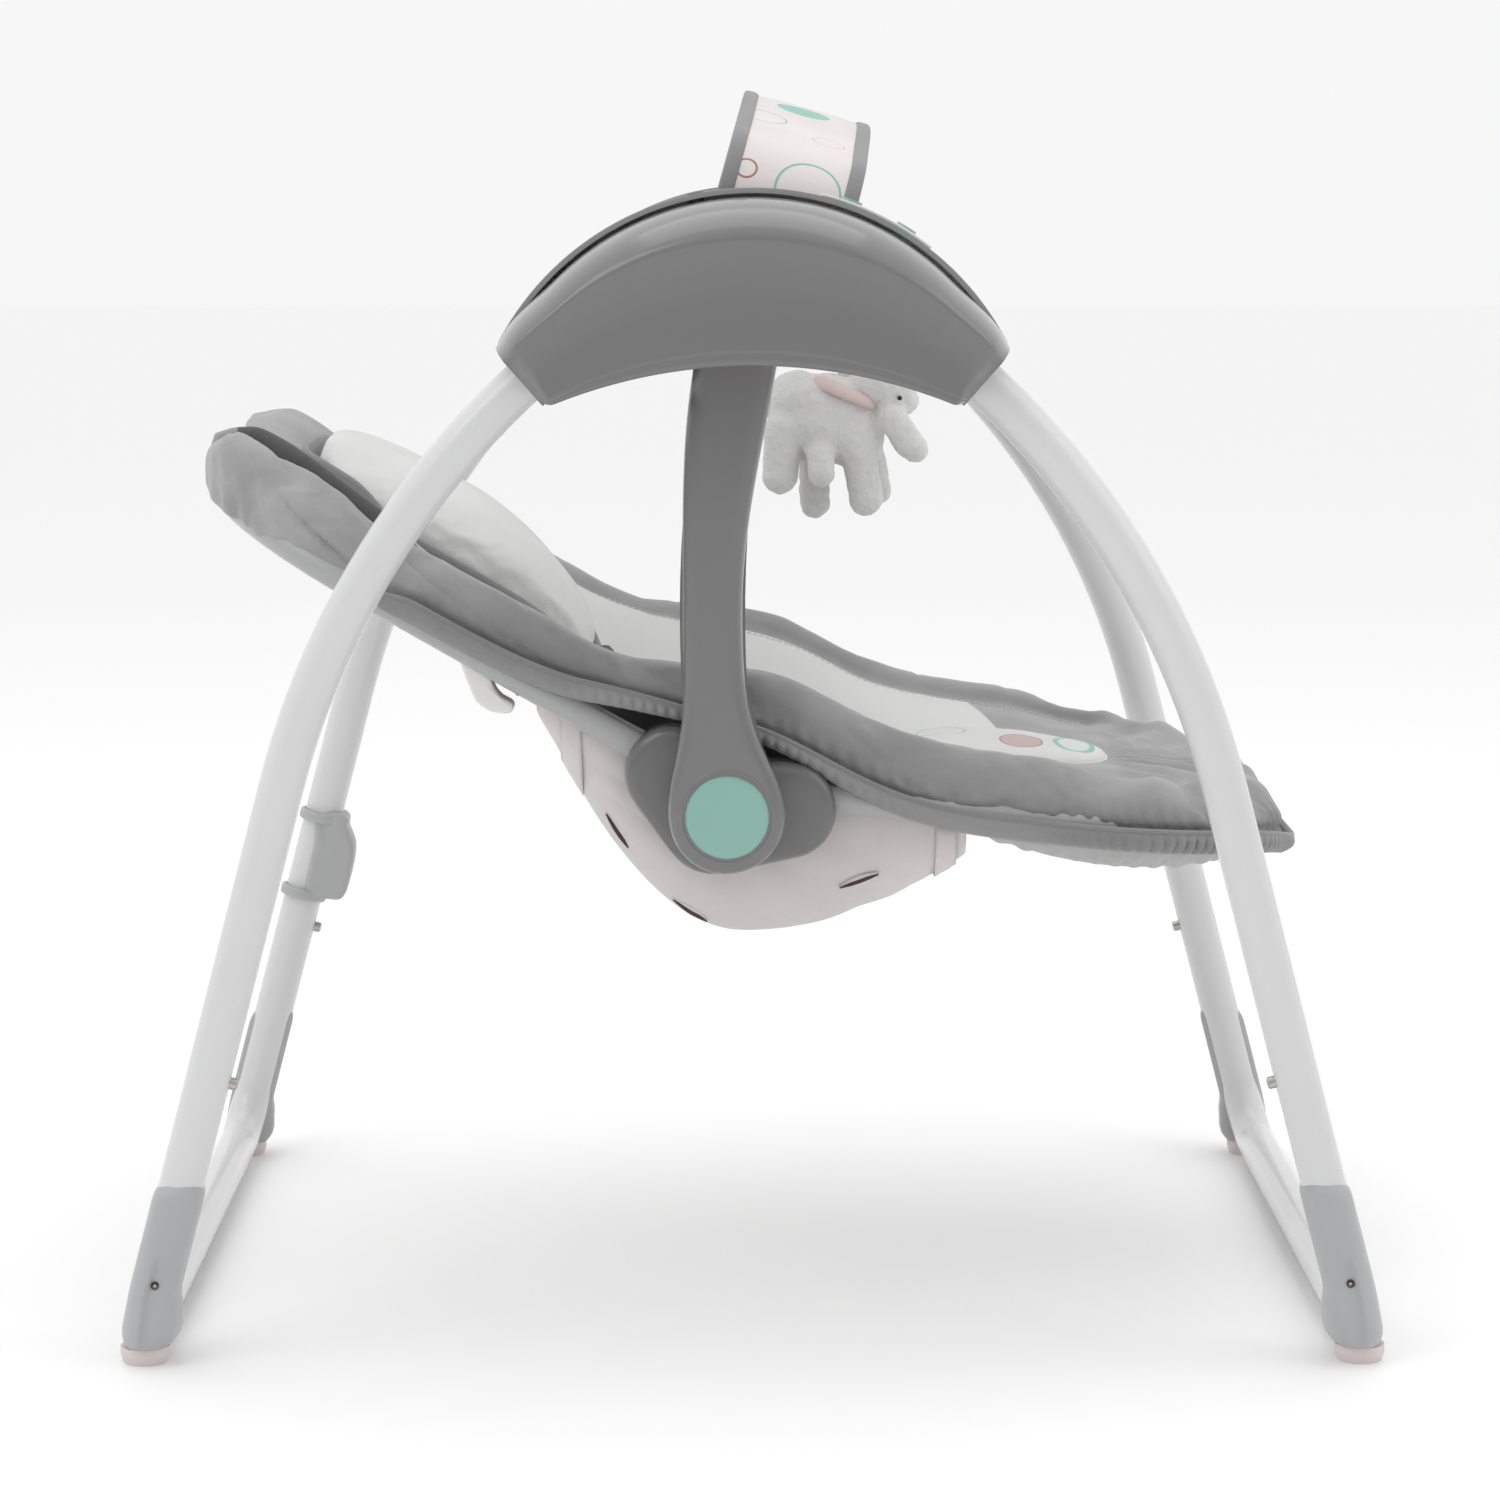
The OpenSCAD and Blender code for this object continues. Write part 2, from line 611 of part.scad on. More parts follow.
// Stations crowd towards the rounded ends; the ones between are even
function even_x(i) = lerp(head_x + head_corner, tip_x - tip_corner, i / 16);
function stations() = concat(
    [for (i = [5 : -1 : 0]) head_x + head_corner * (1 - sin(i * 18))],
    [for (i = [1 : 15]) even_x(i)],
    [for (i = [0 : 5]) tip_x - tip_corner + tip_corner * sin(i * 18)]);

module seat_cover() { color(velour) loft([for (x = stations()) cover_section(x)]); }

// The sling's lower edge from head to foot, and the upper edge of its side panels
sling_xs = [for (i = [0 : 20]) lerp(-122, 122, i / 20)];
function sling_top(x) = min(rim(x) - hem(x), tube_line(x) + 12) - 6;

// Cloth bucket under the seat: one curved band and two flat side panels
module sling() {
    wall = 2.5;
    lower = [for (x = sling_xs) [x, under_sling(x)]];
    back = [for (i = [len(sling_xs) - 1 : -1 : 0]) sling_xs[i]];
    color("#efe6e4") {
        along_y(-181, 181) polygon(concat(lower, [for (x = back) [x, under_sling(x) + wall]]));
        both_sides() along_y(181 - wall, 181) polygon(concat(lower, [for (x = back) [x, sling_top(x)]]));
    }
}

// Height of the cover's middle strip at a distance y from its centre line
function strip_z(x, y) = lerp(middle(x), cover_top(x, 0.35), min(1, y / (0.35 * half_w(x))));

// White pad down the middle of the seat, with a round foot end
panel_t = 5;
panel_gap = 1.2;
panel_w = 70;
panel_end = 222;
function panel_section(x, w) =
    let (e = strip_z(x, w) + panel_gap, c = middle(x) + panel_gap)
    section(x, [[w, e + 1.5], [w - 5, e + panel_t], [0, c + panel_t]], [[w - 2, e], [w - 6, e], [0, c]]);
module centre_panel() {
    round_x = even_x(15);
    color("white") loft(concat(
        [for (i = [5 : 15]) panel_section(even_x(i), panel_w)],
        [for (a = [14.5 : 14.5 : 87])
            panel_section(round_x + (panel_end - round_x) * sin(a), 12 + (panel_w - 12) * cos(a))]));
}

// Domed head pillow on the upper back
module pillow() {
    c = -181;
    color("white") loft([for (i = [0 : 16])
        let (a = -84 + i * 168 / 16, x = c + 81 * sin(a), z = middle(x) + 2,
            w = 6 + 106 * sqrt(cos(a)), h = 40 * sqrt(cos(a)))
        section(x,
            [[w, z + 3 + 8 * soft((w - 50) / 60)], [w * 0.85, z + h * 0.55 + 4], [w * 0.6, z + h * 0.85], [0, z + h]],
            [[w * 0.95, z + 2 + 7 * soft((w - 50) / 60)], [w * 0.8, z + 6 * soft((w - 50) / 60)],
             [w * 0.6, z + 4 * soft((w - 50) / 60)], [0, z]])]);
}

// ---------- harness ----------
// A flat strap over the seat's middle, from x0 to x1 about a line y0 to y1
strap_lift = panel_gap + panel_t + 4;
module strap_x(x0, x1, y0, y1) {
    n = 8;
    loft([for (i = [0 : n])
        let (x = lerp(x0, x1, i / n), y = lerp(y0, y1, i / n), z = strip_z(x, abs(y) + 12) + strap_lift)
        [[x, y - 12, z], [x, y - 12, z + 1.6], [x, y + 12, z + 1.6], [x, y + 12, z]]]);
}

module harness() {
    color("#8b8583") {
        for (s = [-1, 1]) strap_x(-90, -24, s * 42, s * 20);
        strap_x(36, 84, 0, 0);
        for (s = [-1, 1]) translate([0, s * 24.3, buckle_z + 4.5]) rotate([s * 10, 0, 0])
            translate([-10, s > 0 ? 0 : -64, 0]) cube([24, 64, 1.6]);
    }
}

buckle_z = middle(30) + 12;
module buckle() {
    color("#e8e8e8") translate([5, 0, buckle_z]) {
        hull() for (x = [-18, 18], y = [-16, 16]) translate([x, y, 0]) cylinder(r = 7, h = 8, $fn = 32);
        translate([0, 0, 7.9]) cylinder(r = 9, h = 1.6);
    }
}

// Plastic strap clips hang under the back of the seat
module strap_clips() {
    color("#f4f2f1") both_sides() difference() {
        hull() {
            rod_y(-166, 363, 6, 184, 188);
            rod_y(-146, 357, 6, 184, 188);
            rod_y(-146, 371, 6, 184, 188);
            rod_y(-166, 377, 6, 184, 188);
        }
        translate([-168, 180, 358.5]) rotate([0, 8, 0]) cube([24, 12, 5]);
        translate([-168, 180, 368]) rotate([0, 8, 0]) cube([24, 12, 5]);
    }
}

// ---------- toy bar ----------
module in_bar() { translate([4, 0, 596]) rotate([0, bar_lean, 0]) children(); }

// The arch's outline in Y and height, made smaller by t
module arch(t) {
    w = 198 - t;
    h = bar_h - t;
    hull() {
        translate([-w, 16]) square([2 * w, 1]);
        for (s = [-1, 1]) translate([s * (w - 44), h - 68]) circle(r = 44, $fn = 48);
        intersection() {
            translate([0, h - 420]) circle(r = 420, $fn = 240);
            translate([-110, 0]) square([220, 200]);
        }
    }
}

module toy_bar() {
    color("#f3ecea") in_bar() translate([-strap_w / 2, 0, 0]) rotate([90, 0, 90]) linear_extrude(strap_w)
        difference() {
            arch(0);
            arch(5);
            translate([-300, 0]) square([600, 17]);
        }
}

module toy_sockets() {
    color(plastic) both_sides() difference() {
        union() {
            rod_y(4, 596, 17, 187, 198.6);
            in_bar() translate([-12, 193.2, 8]) cube([24, 5, 8.8]);
        }
        rod_y(4, 596, 6 + run, 186, 199);
    }
}

// A plush animal lies on its front and hangs from the arch by a ribbon and a loop
hang_z = 689;
module plush_toy() {
    color("#f5f4f2") translate([58, 0, 0]) {
        translate([-2, -4, 533]) cube([4, 8, 156]);
        rod_y(0, hang_z, 2.4, -7, 7);
        translate([-4, 0, 512]) rotate([0, 90, 0]) cylinder(r = 24, h = 50, center = true);
        translate([26, 0, 519]) sphere(r = 22);
        for (s = [-1, 1]) {
            translate([-22, s * 17, 462]) cylinder(r = 8.5, h = 44);
            translate([14, s * 17, 458]) cylinder(r = 8.5, h = 46);
            translate([30, s * 17, 526]) sphere(r = 9);
        }
    }
}

housing_outer_near();
housing_inner_near();
housing_outer_far();
housing_inner_far();
housing_screws();
swing_axles();
leg_pivot_pins();
control_board();
drive_coil();
battery_cells();
battery_door();
control_panel();
dc_jack();
speed_button();
melody_button();
fold_button_near();
fold_button_far();
front_leg_near();
front_leg_far();
front_base_tube();
front_foot_near();
front_foot_far();
front_foot_pads();
front_knuckles();
front_foot_screws();
rear_leg_near();
rear_leg_far();
rear_base_tube();
rear_foot_near();
rear_foot_far();
rear_foot_pads();
rear_knuckles();
rear_foot_screws();
storage_clip();
snap_front_near();
snap_front_far();
snap_rear_near();
snap_rear_far();
swing_arm_near();
swing_arm_far();
arm_covers();
arm_bushings();
drive_magnet();
recline_button_near();
recline_button_far();
hub_near();
hub_far();
hub_pins();
back_tube();
leg_rest_tube();
sling();
seat_cover();
centre_panel();
pillow();
harness();
buckle();
strap_clips();
toy_bar();
toy_sockets();
plush_toy();
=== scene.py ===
"""Looks of a folding baby swing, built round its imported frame.

Lengths are in millimetres until make() scales them: X to the foot end, Y to the far side, Z up.
"""
import json
import math

import bmesh
import bpy
import numpy as np
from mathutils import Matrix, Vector, noise
from mathutils.bvhtree import BVHTree


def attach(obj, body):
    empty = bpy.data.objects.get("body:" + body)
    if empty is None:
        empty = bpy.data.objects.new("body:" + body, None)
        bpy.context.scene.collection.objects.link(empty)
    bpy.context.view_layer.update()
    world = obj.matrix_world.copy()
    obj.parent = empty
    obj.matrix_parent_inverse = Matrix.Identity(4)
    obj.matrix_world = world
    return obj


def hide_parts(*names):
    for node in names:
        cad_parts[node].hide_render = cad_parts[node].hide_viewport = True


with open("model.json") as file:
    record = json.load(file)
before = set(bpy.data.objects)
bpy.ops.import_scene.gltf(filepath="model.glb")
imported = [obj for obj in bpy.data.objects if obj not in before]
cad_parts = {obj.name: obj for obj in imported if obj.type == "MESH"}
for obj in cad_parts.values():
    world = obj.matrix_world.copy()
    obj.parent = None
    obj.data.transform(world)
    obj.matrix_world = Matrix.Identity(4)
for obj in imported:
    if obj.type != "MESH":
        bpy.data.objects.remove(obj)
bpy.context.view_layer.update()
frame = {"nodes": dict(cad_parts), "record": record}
scene = bpy.context.scene
MM = 0.001
FRONT, REAR, NEAR, FAR = 1, -1, -1, 1
SIDE = {NEAR: "near", FAR: "far"}
END = {FRONT: "front", REAR: "rear"}
WELD, WALL = 0.00002, 2.4


# ---------- camera, floor and light ----------
def add_camera():
    data = bpy.data.cameras.new("camera")
    camera = bpy.data.objects.new("camera", data)
    scene.collection.objects.link(camera)
    data.lens, data.sensor_width = 105.2, 36
    camera.location = (-0.01873, -2.68511, 0.66624)
    camera.rotation_euler = (math.radians(90 - 7.481), 0, math.radians(-0.403))
    scene.camera = camera


def add_light(name, place, aim, size, power):
    data = bpy.data.lights.new(name, "AREA")
    data.size, data.energy = size, power
    light = bpy.data.objects.new(name, data)
    scene.collection.objects.link(light)
    light.location = place
    light.rotation_euler = (Vector(aim) - Vector(place)).to_track_quat("-Z", "Y").to_euler()


def add_world():
    """A white studio that is dimmer on the camera's side, so that gloss shows form."""
    world = bpy.data.worlds.new("studio")
    scene.world = world
    world.use_nodes = True
    nodes, links = world.node_tree.nodes, world.node_tree.links
    back = nodes["Background"]
    back.inputs["Color"].default_value = (1, 1, 1, 1)
    where = nodes.new("ShaderNodeTexCoord")
    split = nodes.new("ShaderNodeSeparateXYZ")
    links.new(where.outputs["Generated"], split.inputs[0])
    ramps = []
    for axis, span in (("Y", (-0.9, 0.1, 0.56, 0.9)), ("Z", (0.05, 0.75, 0.0, 0.16))):
        ramp = nodes.new("ShaderNodeMapRange")
        ramp.interpolation_type = "SMOOTHSTEP"
        for socket, value in zip(ramp.inputs[1:5], span):
            socket.default_value = value
        links.new(split.outputs[axis], ramp.inputs[0])
        ramps.append(ramp)
    total = nodes.new("ShaderNodeMath")
    for ramp, socket in zip(ramps, total.inputs):
        links.new(ramp.outputs[0], socket)
    seen = nodes.new("ShaderNodeMath")
    seen.operation = "MAXIMUM"
    plain = nodes.new("ShaderNodeMath")
    plain.operation = "MULTIPLY"
    plain.inputs[1].default_value = 0.93
    path = nodes.new("ShaderNodeLightPath")
    links.new(total.outputs[0], seen.inputs[0])
    links.new(path.outputs["Is Camera Ray"], plain.inputs[0])
    links.new(plain.outputs[0], seen.inputs[1])
    links.new(seen.outputs[0], back.inputs["Strength"])


def add_studio():
    add_camera()
    add_world()
    add_light("key", (-1.6, -1.5, 2.6), (0, 0, 0.35), 1.6, 13)
    add_light("fill", (2.2, -0.6, 1.9), (0, 0, 0.3), 1.8, 6)
    add_light("top", (0.0, 0.5, 3.0), (0, 0, 0.3), 2.2, 15)
    bpy.ops.mesh.primitive_plane_add(size=40)
    floor = bpy.context.object
    floor.name = "studio_floor"
    look = Look("studio_floor_white", (0.96, 0.96, 0.96), 0.6, Specular_IOR_Level=0.2)
    floor.data.materials.append(look.material)
    scene.view_settings.view_transform = "Standard"


# ---------- materials ----------
class Look:
    """A procedural material. Its methods add nodes and give back an output socket."""

    def __init__(self, name, color, rough, **constants):
        self.material = bpy.data.materials.new(name)
        self.material.use_nodes = True
        self.tree = self.material.node_tree
        self.shader = self.tree.nodes["Principled BSDF"]
        self.color = color
        self.shader.inputs["Base Color"].default_value = (*color, 1)
        self.shader.inputs["Roughness"].default_value = rough
        for name, value in constants.items():
            self.shader.inputs[name.replace("_", " ")].default_value = value
        self.place = self.add("TexCoord").outputs["Object"]
        self.normal = None

    def add(self, kind, **settings):
        node = self.tree.nodes.new("ShaderNode" + kind)
        for name, value in settings.items():
            setattr(node, name, value)
        return node

    def put(self, socket, value):
        if isinstance(value, bpy.types.NodeSocket):
            self.tree.links.new(value, socket)
        else:
            socket.default_value = value

    def math(self, operation, a, b=0.0):
        node = self.add("Math", operation=operation)
        self.put(node.inputs[0], a)
        self.put(node.inputs[1], b)
        return node.outputs[0]

    def noise(self, scale, detail=2.0, stretch=(1, 1, 1), place=None):
        mapping = self.add("Mapping")
        self.put(mapping.inputs["Vector"], place or self.place)
        mapping.inputs["Scale"].default_value = stretch
        node = self.add("TexNoise")
        self.put(node.inputs["Vector"], mapping.outputs[0])
        node.inputs["Scale"].default_value = scale
        node.inputs["Detail"].default_value = detail
        return node.outputs["Fac"]

    def remap(self, value, low, high, to_low=0.0, to_high=1.0, smooth=True):
        node = self.add("MapRange", interpolation_type="SMOOTHSTEP" if smooth else "LINEAR")
        for socket, v in zip(node.inputs, (value, low, high, to_low, to_high)):
            self.put(socket, v)
        return node.outputs[0]

    def mix(self, share, a, b):
        node = self.add("Mix", data_type="RGBA")
        self.put(node.inputs[0], share)
        for socket, v in ((node.inputs[6], a), (node.inputs[7], b)):
            self.put(socket, v if isinstance(v, bpy.types.NodeSocket) else (*v, 1))
        return node.outputs[2]

    def bump(self, height, distance, strength=1.0):
        node = self.add("Bump")
        self.put(node.inputs["Height"], height)
        node.inputs["Distance"].default_value = distance
        node.inputs["Strength"].default_value = strength
        if self.normal:
            self.put(node.inputs["Normal"], self.normal)
        self.normal = node.outputs[0]
        self.put(self.shader.inputs["Normal"], self.normal)

    def paint(self, color):
        self.put(self.shader.inputs["Base Color"], color)

    def rough(self, value):
        self.put(self.shader.inputs["Roughness"], value)

    def shades(self, dark, light, value):
        return self.mix(value, tuple(c * dark for c in self.color), tuple(c * light for c in self.color))


def plastic(name, color, rough, grain=0.00002, grain_scale=900, wear=0.35, **constants):
    look = Look(name, color, rough, **constants)
    base = look.shades(0.96, 1.04, look.noise(9, 3))
    if wear:
        edge = look.remap(look.add("NewGeometry").outputs["Pointiness"], 0.53, 0.62)
        bright = tuple(min(1, c * 1.5 + 0.04) for c in color)
        base = look.mix(look.math("MULTIPLY", edge, wear), base, bright)
    look.paint(base)
    scuff = look.noise(160, 4, (1, 1, 0.25)) if wear else look.noise(18, 2)
    spread = 0.2 if wear else 0.04
    look.rough(look.remap(scuff, 0.3, 0.75, rough * (1 - spread), rough * (1 + spread)))
    look.bump(look.noise(grain_scale, 2), grain)
    return look


def metal(name, color, rough, brushed):
    look = Look(name, color, rough, Metallic=1.0)
    streak = look.noise(700, 3, brushed)
    look.paint(look.shades(0.86, 1.1, streak))
    look.rough(look.remap(streak, 0.3, 0.7, rough * 0.8, rough * 1.3))
    look.bump(streak, 0.00003)
    return look


def weave(look, pitch, depth, place=None):
    """Crossed threads: two waves at right angles, broken by a little noise."""
    split = look.add("SeparateXYZ")
    look.put(split.inputs[0], place or look.place)
    wobble = look.math("MULTIPLY", look.noise(60, 2, place=place), pitch * 1.5)
    waves = []
    for axis in ("X", "Y"):
        run = look.math("ADD", split.outputs[axis], wobble)
        if axis == "Y":
            run = look.math("ADD", run, look.math("MULTIPLY", split.outputs["Z"], 0.6))
        waves.append(look.math("SINE", look.math("MULTIPLY", run, 2 * math.pi / pitch)))
    cross = look.remap(look.math("MULTIPLY", *waves), -1, 1, 0, 1, False)
    look.bump(cross, depth, 0.7)
    return cross


def cloth(name, color, pitch=0.0011, depth=0.00012, sheen=0.25, dark=0.92, place=None):
    look = Look(name, color, 0.9, Sheen_Weight=sheen, Sheen_Roughness=0.5, Specular_IOR_Level=0.2)
    cloud = look.noise(11, 4)
    base = look.shades(dark, 1.03, look.remap(cloud, 0.3, 0.7))
    cross = weave(look, pitch, depth, place)
    thread = look.mix(look.math("MULTIPLY", cross, 0.14), base, tuple(c * 0.72 for c in color))
    look.paint(thread)
    look.bump(look.noise(330, 3), depth * 1.3)
    look.base = thread
    return look


def velour(name, color):
    """Short pile: sheen, brushed patches and a ribbed ground, white where cover_tone says so; cover_tone
    also lays a painted shadow along the head's fold and painted shade near the cover's edge.
    """
    look = Look(name, color, 0.95, Sheen_Weight=0.3, Sheen_Roughness=0.4, Specular_IOR_Level=0.1)
    patch = look.remap(look.noise(16, 5, (1, 1.6, 1.6)), 0.32, 0.68)
    streak = look.noise(140, 3, (0.35, 1.8, 1))
    shade = look.math("ADD", look.math("MULTIPLY", patch, 0.65), look.math("MULTIPLY", streak, 0.35))
    split = look.add("SeparateXYZ")
    look.put(split.inputs[0], look.add("Attribute", attribute_name="cover_tone").outputs["Vector"])
    white = look.remap(split.outputs["X"], 0.0001, 0.0009)
    # Painted shadow: the Y channel darkens a band along the groove of the head's fold.
    crease_shade = look.remap(split.outputs["Y"], 0.0001, 0.003)
    base = look.mix(white, look.shades(0.84, 1.12, shade), (0.68, 0.68, 0.676))
    # Painted shade: the Z channel darkens the pile near the cover's edge and down its sides, but not at
    # the head.
    base = look.mix(look.remap(split.outputs["Z"], 0.0, 0.034, 0.42, 0), base, (0.15, 0.15, 0.152))
    look.paint(look.mix(look.math("MULTIPLY", crease_shade, 0.8), base, (0.05, 0.05, 0.052)))
    look.rough(look.remap(patch, 0, 1, 0.98, 0.84))
    weave(look, 0.0016, 0.0001)
    look.bump(look.noise(620, 2), 0.00025)
    look.bump(look.noise(55, 3), 0.0008, 0.5)
    return look


def ring_print(look, place, base, marks):
    """Paints ovals on a base. A mark is centre u, v, half axes, line width (0 fills it) and colour."""
    split = look.add("SeparateXYZ")
    look.put(split.inputs[0], place)
    for u, v, a, b, line, color in marks:
        du = look.math("DIVIDE", look.math("SUBTRACT", split.outputs["X"], u), a)
        dv = look.math("DIVIDE", look.math("SUBTRACT", split.outputs["Y"], v), b)
        squares = look.math("MULTIPLY", du, du), look.math("MULTIPLY", dv, dv)
        far = look.math("SQRT", look.math("ADD", *squares))
        if line:
            off = look.math("ABSOLUTE", look.math("SUBTRACT", far, 1 - line / (2 * a)))
            share = look.remap(off, line / (2 * a) * 0.75, line / (2 * a) * 1.15, 1, 0)
        else:
            share = look.remap(far, 0.97, 1.0, 1, 0)
        base = look.mix(look.math("MULTIPLY", share, 0.9), base, color)
    look.paint(base)
    return look


GREY = (0.175, 0.175, 0.176)
LOOKS = {}


def add_looks():
    mint = (0.26, 0.47, 0.4)
    LOOKS.update(
        housing_plastic=plastic("gloss_grey_plastic", GREY, 0.2, Coat_Weight=0.35, Coat_Roughness=0.08),
        top_plastic=plastic("light_grey_plastic", (0.33, 0.33, 0.332), 0.26, wear=0),
        hub_plastic=plastic("dark_grey_plastic", (0.15, 0.15, 0.151), 0.2, Coat_Weight=0.3,
                            Coat_Roughness=0.1),
        foot_plastic=plastic("satin_grey_plastic", (0.42, 0.424, 0.43), 0.45, 0.00006, 1500),
        mint_plastic=plastic("mint_plastic", mint, 0.36, wear=0),
        white_plastic=plastic("white_plastic", (0.78, 0.77, 0.76), 0.4),
        # This black is the toy's real black eyes, and is also painted shade on the floor of the recline
        # button's gap and inside the toy bar's socket bores.
        black_plastic=plastic("black_plastic", (0.012, 0.012, 0.012), 0.5),
        nylon=plastic("natural_nylon", (0.62, 0.58, 0.46), 0.5),
        white_paint=plastic("white_powder_coat", (0.68, 0.68, 0.682), 0.24, wear=0, Coat_Weight=0.4),
        grey_paint=plastic("grey_powder_coat", (0.4, 0.402, 0.404), 0.3, wear=0),
        steel=metal("zinc_steel", (0.5, 0.49, 0.47), 0.32, (1, 0.1, 1)),
        magnet=metal("magnet_iron", (0.2, 0.2, 0.21), 0.5, (1, 1, 1)),
        copper=metal("coil_copper", (0.6, 0.24, 0.1), 0.3, (1, 0.05, 1)),
        cell_wrap=plastic("cell_wrap", (0.45, 0.3, 0.06), 0.3),
        circuit=plastic("circuit_board", (0.01, 0.09, 0.03), 0.4),
        pad_rubber=plastic("pink_rubber", (0.7, 0.62, 0.61), 0.7, 0.0001, 1200, 0),
        velour=velour("grey_velour", (0.36, 0.36, 0.36)),
        sling_cloth=cloth("pink_white_cloth", (0.68, 0.64, 0.632), 0.0012),
        white_cloth=cloth("white_knit", (0.7, 0.7, 0.695), 0.0016, 0.0002, 0.35),
        grey_lining=cloth("grey_lining", (0.42, 0.42, 0.418), 0.0016, 0.0002, 0.35),
        printed_cloth=cloth("printed_knit", (0.7, 0.7, 0.692), 0.0016, 0.0002, 0.35),
        bar_cloth=cloth("bar_cloth", (0.74, 0.69, 0.685), 0.0011),
        webbing=cloth("webbing", (0.1, 0.095, 0.092), 0.0024, 0.0004, 0.2),
        plush=cloth("white_plush", (0.72, 0.715, 0.71), 0.002, 0.0004, 0.6, 0.9),
        binding=cloth("grey_binding", (0.25, 0.25, 0.252), 0.0018, 0.0002, 0.3),
        scarf=cloth("pink_scarf", (0.66, 0.53, 0.5), 0.0014, 0.0002, 0.4),
        # Near-black painted shade, laid in the sling's strap slots and in the recesses round the foot
        # screws.
        slit=plastic("painted_shade_slit", (0.06, 0.035, 0.032), 0.8),
    )
    LOOKS["plush"].bump(LOOKS["plush"].noise(190, 4), 0.0022, 0.8)
    for node in frame["record"]["subparts"]:
        obj = frame["nodes"][node["node"]]
        for slot in obj.material_slots:
            slot.link = "OBJECT"
            slot.material = LOOKS[node["material_slot"]].material


# ---------- shape helpers ----------
def soft(t):
    t = np.clip(t, 0, 1)
    return t * t * (3 - 2 * t)


def lerp(a, b, t):
    return a + (b - a) * t


def eased(n):
    """Values from -1 to 1 that lie closer together at the ends."""
    return np.sin(np.linspace(-1, 1, n) * math.pi / 2)


def angles(n):
    """Angles of n even steps round a circle."""
    return np.arange(n) * 2 * math.pi / n


def gauss(x, width):
    return np.exp(-((x / width) ** 2))


def make(name, points, faces, look, body, slot=None, nodes=(), smooth=True):
    """A new piece from points in millimetres, riding on a body and standing for CAD nodes."""
    mesh = bpy.data.meshes.new(name)
    mesh.from_pydata((np.asarray(points, float) * MM).tolist(), [], faces)
    mesh.validate()
    obj = bpy.data.objects.new(name, mesh)
    scene.collection.objects.link(obj)
    obj.data.materials.append(LOOKS[look].material)
    settle(obj, body, nodes, smooth)
    return obj


def shade_smooth(obj, smooth=True):
    obj.data.polygons.foreach_set("use_smooth", [smooth] * len(obj.data.polygons))


def settle(obj, body, nodes=(), smooth=True):
    shade_smooth(obj, smooth)
    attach(obj, body)
    if nodes:
        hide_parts(*nodes)


def net(rows, wrap_rows=False, wrap_cols=False):
    """Points and faces of an open net through rows of equal count."""
    rows = np.asarray(rows, float)
    n, m = rows.shape[:2]
    faces = []
    for i in range(n if wrap_rows else n - 1):
        for j in range(m if wrap_cols else m - 1):
            here, after = i * m, (i + 1) % n * m
            k = (j + 1) % m
            faces.append((here + j, here + k, after + k, after + j))
    return rows.reshape(-1, 3), faces


def skin(rings, closed=False):
    """Points and faces of a closed skin through rings, which run round in a circle or have end caps."""
    rings = np.asarray(rings, float)
    n, m = rings.shape[:2]
    points, faces = net(rings, closed, True)
    if not closed:
        faces += [tuple(range(m))[::-1], tuple(range((n - 1) * m, n * m))]
    return points, faces


def flip(faces):
    return [tuple(reversed(f)) for f in faces]


def sided(points, faces, side):
    """The same shape on the near side, from one made on the far side."""
    points = np.array(points, float)
    if side == NEAR:
        points[:, 1] *= -1
        return points, flip(faces)
    return points, faces


def apply_all(obj):
    bpy.context.view_layer.objects.active = obj
    for other in bpy.context.selected_objects:
        other.select_set(False)
    obj.select_set(True)
    for modifier in list(obj.modifiers):
        bpy.ops.object.modifier_apply(modifier=modifier.name)


def modify(obj, kind, **settings):
    modifier = obj.modifiers.new(kind.lower(), kind)
    for name, value in settings.items():
        setattr(modifier, name, value)
    return modifier


def subdivide(obj):
    modify(obj, "SUBSURF", levels=1, render_levels=1)
    apply_all(obj)


def thicken(obj, thickness, offset=0):
    modify(obj, "SOLIDIFY", thickness=thickness * MM, offset=offset)
    apply_all(obj)


def coords(obj):
    flat = np.zeros(len(obj.data.vertices) * 3)
    obj.data.vertices.foreach_get("co", flat)
    return flat.reshape(-1, 3) / MM


def set_coords(obj, points):
    obj.data.vertices.foreach_set("co", (np.asarray(points) * MM).ravel())
    obj.data.update()


def normals(obj):
    flat = np.zeros(len(obj.data.vertices) * 3)
    obj.data.vertices.foreach_get("normal", flat)
    return flat.reshape(-1, 3)


def push_out(obj, push):
    """Moves each vertex along its normal, in millimetres."""
    set_coords(obj, coords(obj) + normals(obj) * push[:, None])


def store(obj, name, values):
    """Keeps a vector for each vertex, for the material to read."""
    attribute = obj.data.attributes.new(name, "FLOAT_VECTOR", "POINT")
    attribute.data.foreach_set("vector", np.asarray(values, float).ravel())


def fuzz(points, scale, seed):
    """Smooth noise at points in millimetres, about -1 to 1; scale is its size in millimetres."""
    return np.array([noise.noise(Vector(p) / scale + Vector((seed, seed * 0.7, 0))) for p in points])


def run_along(path):
    """Distance of each point from the path's start."""
    return np.concatenate([[0], np.cumsum(np.linalg.norm(np.diff(path, axis=0), axis=1))])


def resample(path, step, closed=False):
    """Points spaced evenly along a path."""
    path = np.asarray(path, float)
    if closed:
        path = np.vstack([path, path[:1]])
    far = run_along(path)
    count = max(2, int(round(far[-1] / step)))
    at = np.linspace(0, far[-1], count + 1)
    if closed:
        at = at[:-1]
    return np.stack([np.interp(at, far, path[:, k]) for k in range(path.shape[1])], 1)


